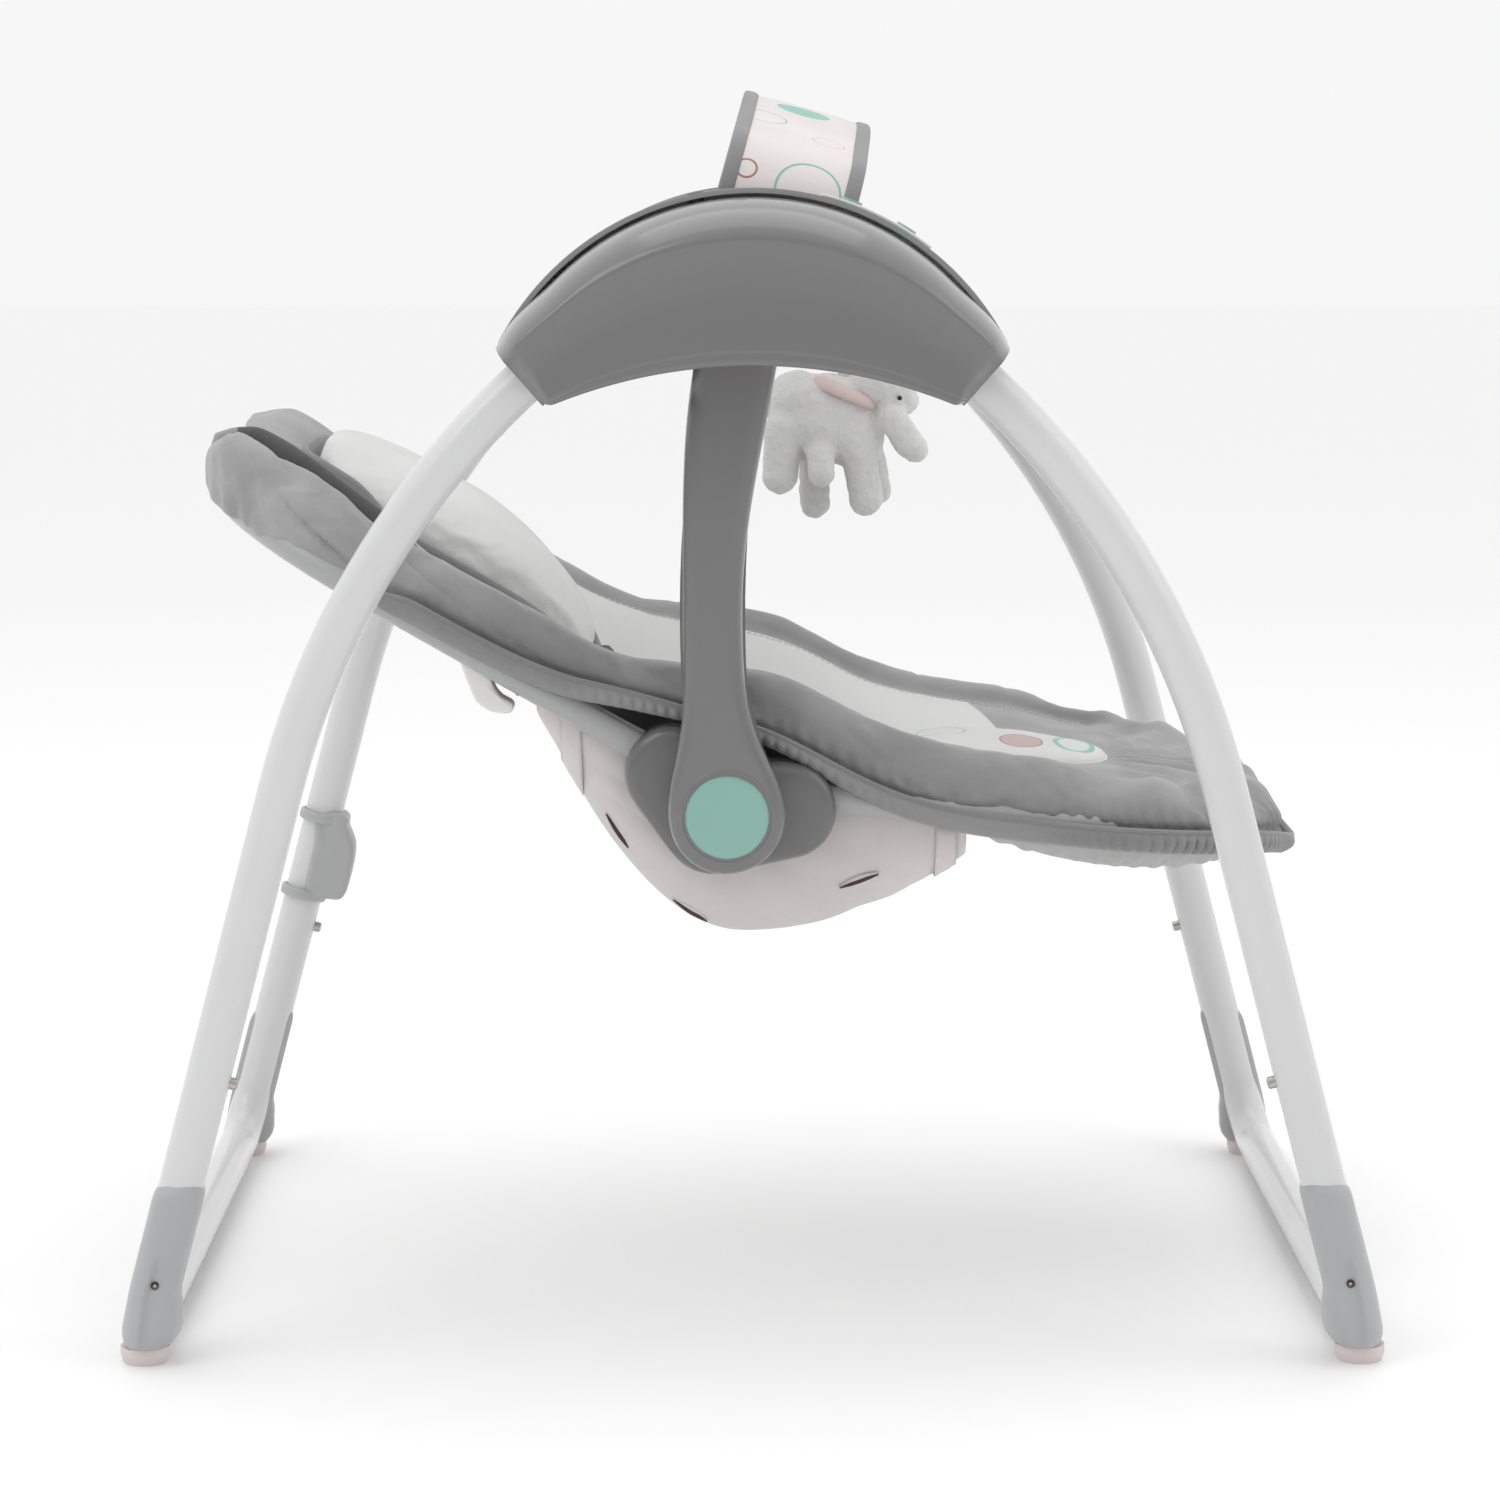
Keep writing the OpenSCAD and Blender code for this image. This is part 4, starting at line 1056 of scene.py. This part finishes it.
def hem_band():
    """The gathered strip below the piping that wraps under the seat tubes."""
    loop, normal = rim_loop(1.0)
    s = np.arange(len(loop)) * 1.0
    puff = np.cos(s / 1.15 + 1.6 * np.sin(s / 13)) * (0.55 + 0.5 * np.sin(s / 47))
    puff = puff * (1 + soft((loop[:, 0] - 30) / 70))
    deep = (11 - 5 * gauss(loop[:, 0] + 20, 65)) * (1 - 0.15 * soft((loop[:, 0] - 290) / 36))
    hide = tuck(loop)
    rows = []
    for t in np.linspace(0, 1, 8):
        out = 0.4 + 1.2 * math.sin(t * math.pi) - 6 * t ** 3 + 0.9 * puff * soft(t * 2) - 12 * hide
        place = loop + normal * out[:, None]
        rows.append(np.column_stack([place, rim(loop[:, 0]) - 0.6 - deep * t ** 0.9 - 10 * hide]))
    band = make("cover_hem", *net(rows, wrap_cols=True), "velour", "seat")
    thicken(band, 1.4, -1)


def stitches():
    """A sewn line along the top of the bolster's inner seam, as short raised threads."""
    points, faces = [], []
    for side in (NEAR, FAR):
        for a in np.linspace(-100, 214, 80):
            spots = [(q, side * (half_w(q) - STITCH_IN)) for q in (a, a + 2.6)]
            path = [(*spot, on_cover(*spot) + 0.1) for spot in spots]
            middle_point = (np.array(path[0]) + path[1]) / 2 + [0, 0, 0.5]
            pts, fcs = sweep([path[0], middle_point, path[1]], 0.4, 0.4, 6)
            faces += [tuple(i + len(points) for i in f) for f in fcs]
            points += pts.tolist()
    make("seam_stitches", points, faces, "white_cloth", "seat")


def centre_panel():
    """White padded strip with printed ovals and a round foot end, sewn down at its edge."""
    tip_r, rings = PANEL_W + 1, []
    tip = PANEL_END + tip_r * np.sin(np.linspace(0.02, math.pi / 2 - 0.02, 36))
    xs = np.concatenate([np.linspace(-98, PANEL_END, 90), tip])
    v = eased(41)
    for x in xs:
        w = PANEL_W * math.sqrt(max(0.0004, 1 - max(0, (x - PANEL_END) / tip_r) ** 2))
        ground = np.array([on_cover(x, y) for y in v * w])
        edge = np.minimum(PANEL_W - np.hypot(v * w, max(0, x - PANEL_END)), 14) / 14
        puff = 5 * np.sqrt(np.clip(1 - (1 - np.clip(edge, 0, 1)) ** 2, 0, 1))
        top = np.column_stack([np.full(41, x), v * w, ground + 0.3 + puff])
        low = top[1:-1] - np.column_stack([np.zeros((39, 2)), puff[1:-1] + 2])
        rings.append(np.vstack([top, low[::-1]]))
    pad = make("centre_panel", *skin(rings), "printed_cloth", "seat", nodes=["centre_panel"])
    subdivide(pad)
    p, n = coords(pad), normals(pad)
    x, y, _ = p.T
    up = soft(n[:, 2] * 2)
    quilt = gauss(np.mod(x + 40, 64) - 32, 2.2) * soft((PANEL_END - x) / 20)
    from_edge = PANEL_W - np.hypot(y, np.clip(x - PANEL_END, 0, None))
    push = -1.2 * quilt + fuzz(p, 26, 2.2) * 0.9 - 1.0 * gauss(from_edge - 6, 1.2)
    push_out(pad, push * up)
    mint, brown, rose = (0.2, 0.46, 0.38), (0.3, 0.16, 0.13), (0.5, 0.35, 0.32)
    look = LOOKS["printed_cloth"]
    marks = [(0.1676, 0.0, 0.012, 0.030, 0.0, rose), (0.1676, 0.0, 0.0135, 0.033, 0.0015, brown),
             (0.2005, 0.004, 0.013, 0.034, 0.0035, mint),
             (0.2005, 0.004, 0.0095, 0.028, 0.0, (0.62, 0.68, 0.65)),
             (0.12, 0.044, 0.016, 0.016, 0.0014, mint), (0.06, -0.05, 0.012, 0.012, 0.0012, rose)]
    ring_print(look, look.place, look.base, marks)


def pillow():
    """Domed head pillow, piped round its edge."""
    cx, rx, ry = -181.0, 84.0, 112.0
    rings, edge = [], []
    for a in np.linspace(-88, 88, 41):
        c = math.cos(math.radians(a))
        x = cx + rx * math.sin(math.radians(a))
        w = 8 + (ry - 8) * c ** 0.45
        v = eased(49)
        ground = bowl(x, np.abs(v) * w / half_w(x)) + 1.5
        dome = 34 * c ** 0.55 * np.clip(1 - np.abs(v) ** 2.6, 0, 1) ** 0.55
        top = np.column_stack([np.full(49, x), v * w, ground + 3 + dome])
        low = np.column_stack([np.full(49, x), v * w, ground - 1])
        rings.append(np.vstack([top, low[::-1]]))
        edge.append((x, w, float(ground[0]) + 1.5))
    body = make("pillow", *skin(rings), "white_cloth", "seat", nodes=["pillow"])
    swell(body, 4.2, 6.0, 5.0)
    push_out(body, fuzz(coords(body), 30, 6.6) * 1.1)
    edge = np.array(edge)
    loop = np.vstack([edge * [1, -1, 1], edge[::-1]])
    loop = resample(loop, 2.5, closed=True)
    away = loop[:, :2] - [cx, 0]
    away /= np.linalg.norm(away, axis=1)[:, None]
    loop[:, :2] += away * 3.6
    loop[:, 2] += 2.0
    tall = 5.2 + 5.5 * soft((-205 - loop[:, 0]) / 35)
    loop[:, 2] += tall - 5.2
    make("pillow_piping", *sweep(loop, 3.2, tall, 12, True), "binding", "seat", "velour")


def sling_section(x):
    """Lowest height, top height and corner radius of the sling at one station along X."""
    low = 226.5 + (x + 4) ** 2 * (0.0093 if x < -4 else 0.003)
    top = min(rim(x) - 8, tube_line(x) + 14) - 4
    return low, top, min(42.0, max(4.0, (top - low) * 0.6))


def sling_rows(xs, drop=0.0, out=0.0):
    """Cloth trough under the seat: flat sides, round corners and a bottom band."""
    rows = []
    for x in xs:
        low, top, r = sling_section(x)
        low -= drop
        w = SLING_W + out
        a = np.linspace(0, math.pi / 2, 12)
        corner = np.column_stack([w - r + r * np.cos(a), low + r - r * np.sin(a)])
        half = np.vstack([[w + 1.5, top], [w + 1.0, lerp(low + r, top, 0.5)], corner,
                          [(w - r) * 0.5, low - 1.5], [0.0, low - 2]])
        half = resample(half, np.linalg.norm(np.diff(half, axis=0), axis=1).sum() / 30)
        line = np.vstack([half, half[::-1][1:] * [-1, 1]])
        rows.append(np.column_stack([np.full(len(line), x), line]))
    return np.array(rows)


def sling():
    rows = sling_rows(np.linspace(-124, 124, 63))
    trough = make("sling", *net(rows), "sling_cloth", "seat", nodes=["sling"])
    thicken(trough, 1.6)
    subdivide(trough)
    x, y, z = coords(trough).T
    wave = fuzz(np.stack([x * 0.55 + z * 0.8, y * 0.3, z * 0.25], 1), 26, 4.4) * 2.4
    seam = gauss(np.abs(x + 98 - (z - 250) * -0.28), 2.0) * 1.6
    calm = soft((tube_line(x) - z) / 30)
    push_out(trough, (wave - seam) * calm)
    for k, x in enumerate((-104, 112)):
        rows = sling_rows(np.linspace(x - 6, x + 6, 7), 1.6, 1.4)
        strip = make(f"sling_band_{k}", *net(rows), "sling_cloth", "seat")
        thicken(strip, 1.0)
    slots()


def slots():
    """Stitched strap slots in the sling, each a dark slit of painted shade in a raised welt that lies on
    the cloth.
    """
    places = (-78, 291, 58, 1.7), (-36, 243, 34, 2.4), (62, 262, -20, 1.6)
    for k, (x, z, lean, wide) in enumerate(places):
        low, _, r = sling_section(x)
        dip = max(0.0, 1 - (z - low) / r)
        level = math.sqrt(1 - dip * dip)
        for side, tag in SIDE.items():
            lead = np.array([0, side * level, -dip])
            way = np.array([math.cos(math.radians(lean)), 0, -math.sin(math.radians(lean))])
            path = [on_sling(np.array([x, 0, z]) + way * s, side) for s in np.linspace(-12, 12, 9)]
            taper = np.sin(np.linspace(0.25, math.pi - 0.25, 9))
            welt = sweep(path, (wide + 1.9) * taper, 1.6 * taper, 12, lead=lead)
            make(f"slot_welt_{k}_{tag}", *welt, "sling_cloth", "seat")
            path = [q + lead * 1.1 for q in path]
            # The slit is painted shade: a near-black strip inside the slot's opening.
            slit = sweep(path, wide * taper, 0.9 * taper, 10, lead=lead)
            make(f"slot_slit_{k}_{tag}", *slit, "slit", "seat", "webbing")


def on_sling(q, side):
    """Moves a point sideways on to the outside of the sling."""
    low, _, r = sling_section(q[0])
    dip = np.clip(1 - (q[2] - low) / r, 0, 0.97)
    level = math.sqrt(1 - dip * dip)
    wall = np.array([q[0], side * (SLING_W - r + r * level), low + r - r * dip if dip > 0 else q[2]])
    return wall + np.array([0, side * level, -dip]) * SLOT_LIFT


def under_cloth():
    """Lining that bulges under the foot end, grey and gathered, and under the back, pale."""
    for name, x0, x1, bulge in (("foot_lining", 118, 314, 22), ("back_lining", -296, -118, 4)):
        xs = np.linspace(x0, x1, 53)
        v = eased(61)
        rows = []
        for x in xs:
            w = half_w(x) - 6 - 16 * soft((-175 - x) / 50)
            t = (x - x0) / (x1 - x0)
            phase, power = (0.03 + 0.97 * t, 0.9) if x > 0 else (0.95 * t, 0.7)
            deep = bulge * math.sin(math.pi * phase) ** power
            z = rim(x) - 10 - deep * np.clip(1 - np.abs(v) ** 5, 0, 1) ** 0.6
            rows.append(np.column_stack([np.full(61, x), v * w, z]))
        look, slot = ("grey_lining", "velour") if x0 > 0 else ("white_cloth", None)
        piece = make(name, *net(rows), look, "seat", slot)
        thicken(piece, 1.4)
        subdivide(piece)
        x, y, z = coords(piece).T
        crease = fuzz(np.stack([x * 0.5, y * 1.3, z], 1), 22, 7.7) * 1.8
        if x0 > 0:
            along = np.where(np.abs(y) > 120, x, y)
            crease += np.cos(along / 2.1 + 1.5 * np.sin(along / 17)) * soft((60 - inset(x, y)) / 40)
        crease *= np.clip((rim(x) - 9 - z) / 10, 0, 1)
        push_out(piece, crease)


def strap_clips():
    """White hooks that hold the cover's straps on the back tube."""
    hook = [(-168, 392), (-163, 378), (-158, 366), (-149, 360.5), (-139, 359.5), (-136, 362),
            (-136.5, 366), (-144, 369.5), (-148, 375), (-150, 384), (-153, 393), (-160, 399)]
    outline = relax(resample(hook, 1.5, closed=True), 4)
    for side, tag in SIDE.items():
        hook_body = sided(*slab(outline, CLIP_Y - 9, CLIP_Y + 9, 2.2, 0.4), side)
        make("strap_hook_" + tag, *hook_body, "white_plastic", "seat",
             nodes=["strap_clips"] if side == NEAR else ())
        for k, (x, z) in enumerate(((-150, 391), (-141, 377))):
            path = [(x + q * 0.8, side * (CLIP_Y - 4), z - q * 0.75) for q in np.linspace(-9, 9, 9)]
            make(f"strap_end_{k}_{tag}", *sweep(path, 9, 1.1, 16, power=5), "webbing", "seat")


# ---------- harness ----------
def strap(name, path, width, nodes=()):
    make(name, *sweep(resample(path, 3), width / 2, 0.65, 16, power=6), "webbing", "seat", nodes=nodes)


def panel_z(x, y):
    return on_cover(x, y) + 3


def harness():
    for side, tag in SIDE.items():
        xs = np.linspace(-96, -16, 20)
        path = [(x, side * lerp(44, 17, (x + 96) / 80), panel_z(x, 44) + 10 + 7 * soft((x + 60) / 44))
                for x in xs]
        path[0] = (-99, side * 44, panel_z(-96, 44) + 1)
        strap("shoulder_strap_" + tag, path, 24, ["harness"] if side == NEAR else ())
        ys = np.linspace(20, 98, 16)
        path = [(4, side * y, max(panel_z(4, y) + 8, panel_z(4, 20) + 20 - (y - 20) * 0.05)) for y in ys]
        strap("waist_strap_" + tag, path, 24)
        slide = [(-62 + dx, side * 33, panel_z(-62 + dx, 44) + 12.4) for dx in (-8, 0, 8)]
        make("strap_slide_" + tag, *sweep(slide, 15, 2.2, 20, power=5), "white_plastic", "seat")
    path = [(x, 0, panel_z(x, 0) + 9 + 8 * soft((60 - x) / 30)) for x in np.linspace(86, 24, 16)]
    path[0] = (90, 0, panel_z(90, 0) + 2)
    strap("crotch_strap", path, 25)
    clasp()


def clasp():
    x0, z0 = 5.0, panel_z(30, 0) + 15
    corners = [circle(x0 + sx * 15, sy * 15, 9, 40) for sx in (-1, 1) for sy in (-1, 1)]
    outline = hull_2d(np.vstack(corners))
    outline = resample(outline, 2, closed=True)
    points, faces = slab(outline, 0, 11, 3.5, 0.8)
    points = np.array(points)[:, [0, 2, 1]] + [0, 0, z0]
    make("buckle", points, flip(faces), "white_plastic", "seat", nodes=["buckle"])
    profile = [(0.02, 10), (8.4, 10), (9, 10.4), (9, 12.4), (8.2, 13.2), (4, 12.9), (0.02, 12.8)]
    points, faces = lathe_y(0, 0, profile, 48)
    points = np.array(points)[:, [0, 2, 1]] + [x0, 0, z0]
    make("buckle_button", points, faces, "mint_plastic", "seat")


# ---------- toy bar ----------
BAR_AT, BAR_LEAN = np.array([4.0, 0, 596.0]), math.radians(15.7)
BAR_H, BAR_W, STRAP_W, ARCH_R, CORNER_R = 114.0, 198.0, 76.0, 420, 44


def bar_place(x, y, z):
    """From the toy bar's own frame to the row frame."""
    c, s = math.cos(BAR_LEAN), math.sin(BAR_LEAN)
    return np.stack([BAR_AT[0] + x * c + z * s, y, BAR_AT[2] - x * s + z * c], -1)


def arch_line():
    """The middle of the strap, up one leg and over to the other, as Y and Z in the bar's own frame."""
    w, h = BAR_W - 2.6, BAR_H - 2.6
    big = circle(0, h - ARCH_R, ARCH_R, 720)
    big = big[(np.abs(big[:, 0]) < 110) & (big[:, 1] > 0)]
    corner_z = h - 68
    corners = np.vstack([circle(s * (w - CORNER_R), corner_z, CORNER_R) for s in (-1, 1)])
    outline = hull_2d(np.vstack([[(-w, 17), (w, 17)], big, corners[corners[:, 1] > corner_z]]))
    start = int(np.argmin(np.abs(outline - [w, 17]).sum(1)))
    return resample(np.roll(outline, -start, 0), 3.0)


def toy_bar():
    line = arch_line()
    far = run_along(line)
    half = STRAP_W / 2
    v = np.linspace(-1, 1, 21)
    t = np.gradient(line, axis=0)
    out = np.stack([t[:, 1], -t[:, 0]], 1) / np.linalg.norm(t, axis=1)[:, None]
    rings, flat = [], []
    for k, (y, z) in enumerate(line):
        ring = []
        for sign in (1, -1):
            for s in v * sign:
                lift = sign * (1.2 + 1.8 * (1 - abs(s) ** 3)) + 0.35 * math.sin(far[k] / 21) * (1 - s * s)
                ring.append((s * half, y + out[k, 0] * lift, z + out[k, 1] * lift))
                flat.append((far[k] * MM, s * half * MM, 0))
        rings.append(ring)
    points, faces = skin(rings)
    points = bar_place(*np.array(points).T)
    bar = make("toy_bar", points, faces, "bar_cloth", "toy_bar", nodes=["toy_bar"])
    store(bar, "cloth_place", flat)
    for side in (-1, 1):
        path = bar_place(np.full(len(line), side * (half - 3.2)), line[:, 0], line[:, 1])
        lead = np.column_stack([out[:, 1] * math.sin(BAR_LEAN), out[:, 0], out[:, 1] * math.cos(BAR_LEAN)])
        name = "bar_binding_" + ("foot" if side > 0 else "head")
        make(name, *sweep(path, 4.6, 3.5, 18, lead=lead, power=3.4), "binding", "toy_bar", "bar_cloth")
    print_bar(far[-1] * MM)


def print_bar(length):
    """Rings and one filled spot up each leg of the strap, with small rings between them."""
    look = LOOKS["bar_cloth"]
    node = look.add("Attribute", attribute_name="cloth_place")
    mint, rose, wine = (0.2, 0.47, 0.39), (0.62, 0.42, 0.38), (0.34, 0.14, 0.13)
    leg = ((0.0476, 0.010, 0.0195, 0.0016, mint), (0.0525, -0.0269, 0.0065, 0.0014, wine),
           (0.1184, 0.0153, 0.010, 0.0010, rose), (0.1446, -0.0255, 0.015, 0.0012, mint),
           (0.190, -0.0025, 0.0165, 0.0, mint), (0.226, 0.024, 0.009, 0.0012, wine))
    marks = []
    for u, v, r, line, color in leg:
        marks.append((length - u, v, r, r, line, color))
        marks.append((u + 0.006, -v, r, r, line, color))
    ring_print(look, node.outputs["Vector"], look.base, marks)


def toy_sockets():
    for side, tag in SIDE.items():
        profile = [(6.2, 187), (14, 187), (16.4, 188), (17, 190), (17, 197), (16.2, 198.4), (6.2, 198.6)]
        turned("bar_socket_" + tag, BAR_AT[::2], profile, 48, side, "housing_plastic", "toy_bar",
               nodes=["toy_sockets"] if side == NEAR else (), caps=False)
        # The bore's wall is black: painted shade inside the socket.
        points, faces = lathe_y(*BAR_AT[::2], [profile[0], profile[-1]], 48)
        make("bar_bore_" + tag, *sided(points, faces[:-2], side), "black_plastic", "toy_bar")
        path = bar_place(np.zeros(6), np.full(6, side * 195.4), np.linspace(4, 18, 6))
        tongue = sweep(path, 14, 2.4, 20, power=4, lead=(0, 1, 0))
        make("bar_tongue_" + tag, *tongue, "housing_plastic", "toy_bar")


# ---------- plush toy ----------
TOY_X, LOOP_Z = 58, 688.8


def blob(centre, radii, turn=0.0):
    bpy.ops.mesh.primitive_uv_sphere_add(segments=24, ring_count=14)
    ball = bpy.context.object
    ball.scale = [r * MM for r in radii]
    ball.rotation_euler = (0, math.radians(turn), 0)
    ball.location = [c * MM for c in centre]
    bpy.ops.object.transform_apply(location=True, rotation=True, scale=True)
    return ball


def join(objects, name):
    for obj in bpy.context.selected_objects:
        obj.select_set(False)
    for obj in objects:
        obj.select_set(True)
    bpy.context.view_layer.objects.active = objects[0]
    bpy.ops.object.join()
    objects[0].name = objects[0].data.name = name
    return objects[0]


def capsule(start, end, r):
    """A limb, as five overlapping balls."""
    start, end = np.array(start, float), np.array(end, float)
    return [blob(lerp(start, end, k / 4), (r, r * 0.95, r * 1.02)) for k in range(5)]


def plush_toy():
    """A generic white animal hung by its neck, with four hanging legs, a tail knob and ears."""
    limbs = (((20, -13, 512), (18.5, -14, 484.5), 11.6), ((39, 13, 500), (40.3, 13, 465.5), 9.6),
             ((66, -11, 505), (71, -12, 470), 10.8), ((70, 12, 508), (78, 13, 474), 10),
             ((43, -22, 497), (43.5, -25, 486), 8.6),
             ((86, -15, 520), (100, -17, 501), 8.8), ((86, 15, 520), (98, 17, 501), 8.8))
    balls = [blob((46, 0, 518), (35, 25, 28)), blob((30, 0, 529), (21, 22, 19)),
             blob((62, 0, 508), (21, 23, 20)), blob((80, 0, 540), (19, 21, 17), -20),
             blob((92, 0, 529), (12, 13, 10)), blob((12, 0, 526), (6, 6, 6))]
    for limb in limbs:
        balls += capsule(*limb)
    toy = join(balls, "plush_toy")
    toy.data.materials.clear()
    toy.data.materials.append(LOOKS["plush"].material)
    swell(toy, 2.2, 1.2, 2.0, 10)
    modify(toy, "SMOOTH", factor=0.8, iterations=5)
    apply_all(toy)
    p = coords(toy)
    push = fuzz(p, 3.0, 9.1) * 0.35 + fuzz(p, 12, 2.5) * 0.8
    push_out(toy, push + -0.9 * gauss(p[:, 1], 0.9) * soft((p[:, 2] - 500) / 10))
    settle(toy, "toy", ["plush_toy"])
    for side, tag in SIDE.items():
        eye = blob((91, side * 17.2, 531.5), (1.5, 1.2, 1.5))
        eye.name = "eye_" + tag
        eye.data.materials.append(LOOKS["black_plastic"].material)
        settle(eye, "toy")
    scarf()
    ribbon()


def scarf():
    """A pinkish neck cloth: a tilted disc with a wavy edge, thicker in its middle."""
    a = np.linspace(0, 2 * math.pi, 72, endpoint=False)
    lean = math.radians(22)
    rings = []
    layers = (-1, 0.75, 1.6), (-0.6, 0.96, 3.4), (0, 1.0, 4.6), (0.6, 0.96, 5.4), (1, 0.75, 7)
    for t, size, thick in layers:
        wave = size * (1 + 0.025 * np.sin(a * 11) + 0.02 * np.sin(a * 7 + 1))
        u, v = 24.5 * wave * np.cos(a), 26.5 * wave * np.sin(a)
        w = t * thick
        rings.append(np.stack([TOY_X + u * math.cos(lean) + w * math.sin(lean), v,
                               532.5 - u * math.sin(lean) + w * math.cos(lean)], 1))
    piece = make("toy_scarf", *skin(rings), "scarf", "toy", "plush")
    subdivide(piece)


def ribbon():
    z = np.linspace(689, 541, 40)
    path = np.column_stack([TOY_X + 0.8 * np.sin(z / 19), 0.6 * np.sin(z / 23), z])
    make("toy_ribbon", *sweep(path, 4.0, 0.8, 12, power=4, lead=(0, 1, 0)), "white_cloth", "toy")
    a = np.linspace(0, 2 * math.pi, 32, endpoint=False)
    loop = np.stack([TOY_X + 2.2 * np.cos(a), np.zeros(32), LOOP_Z + 2.2 * np.sin(a)], 1)
    make("toy_loop", *sweep(loop, 3.6, 0.7, 10, True, power=4, lead=(0, 0.01, 1)), "white_cloth", "toy")


def build():
    for side in (NEAR, FAR):
        housing_shell(side)
        swing_arm(side)
        hub(side)
        for end in (FRONT, REAR):
            foot_cover(end, side)
            end_walls(end, side)
    soften(["housing_inner_near", "housing_inner_far"], 0.9)
    storage_clip()
    soften(["control_panel", "battery_door", "speed_button", "melody_button", "fold_button_near",
            "fold_button_far", "arm_covers"], 0.5)
    seat_cover()
    centre_panel()
    pillow()
    sling()
    under_cloth()
    strap_clips()
    harness()
    toy_bar()
    toy_sockets()
    plush_toy()


build()
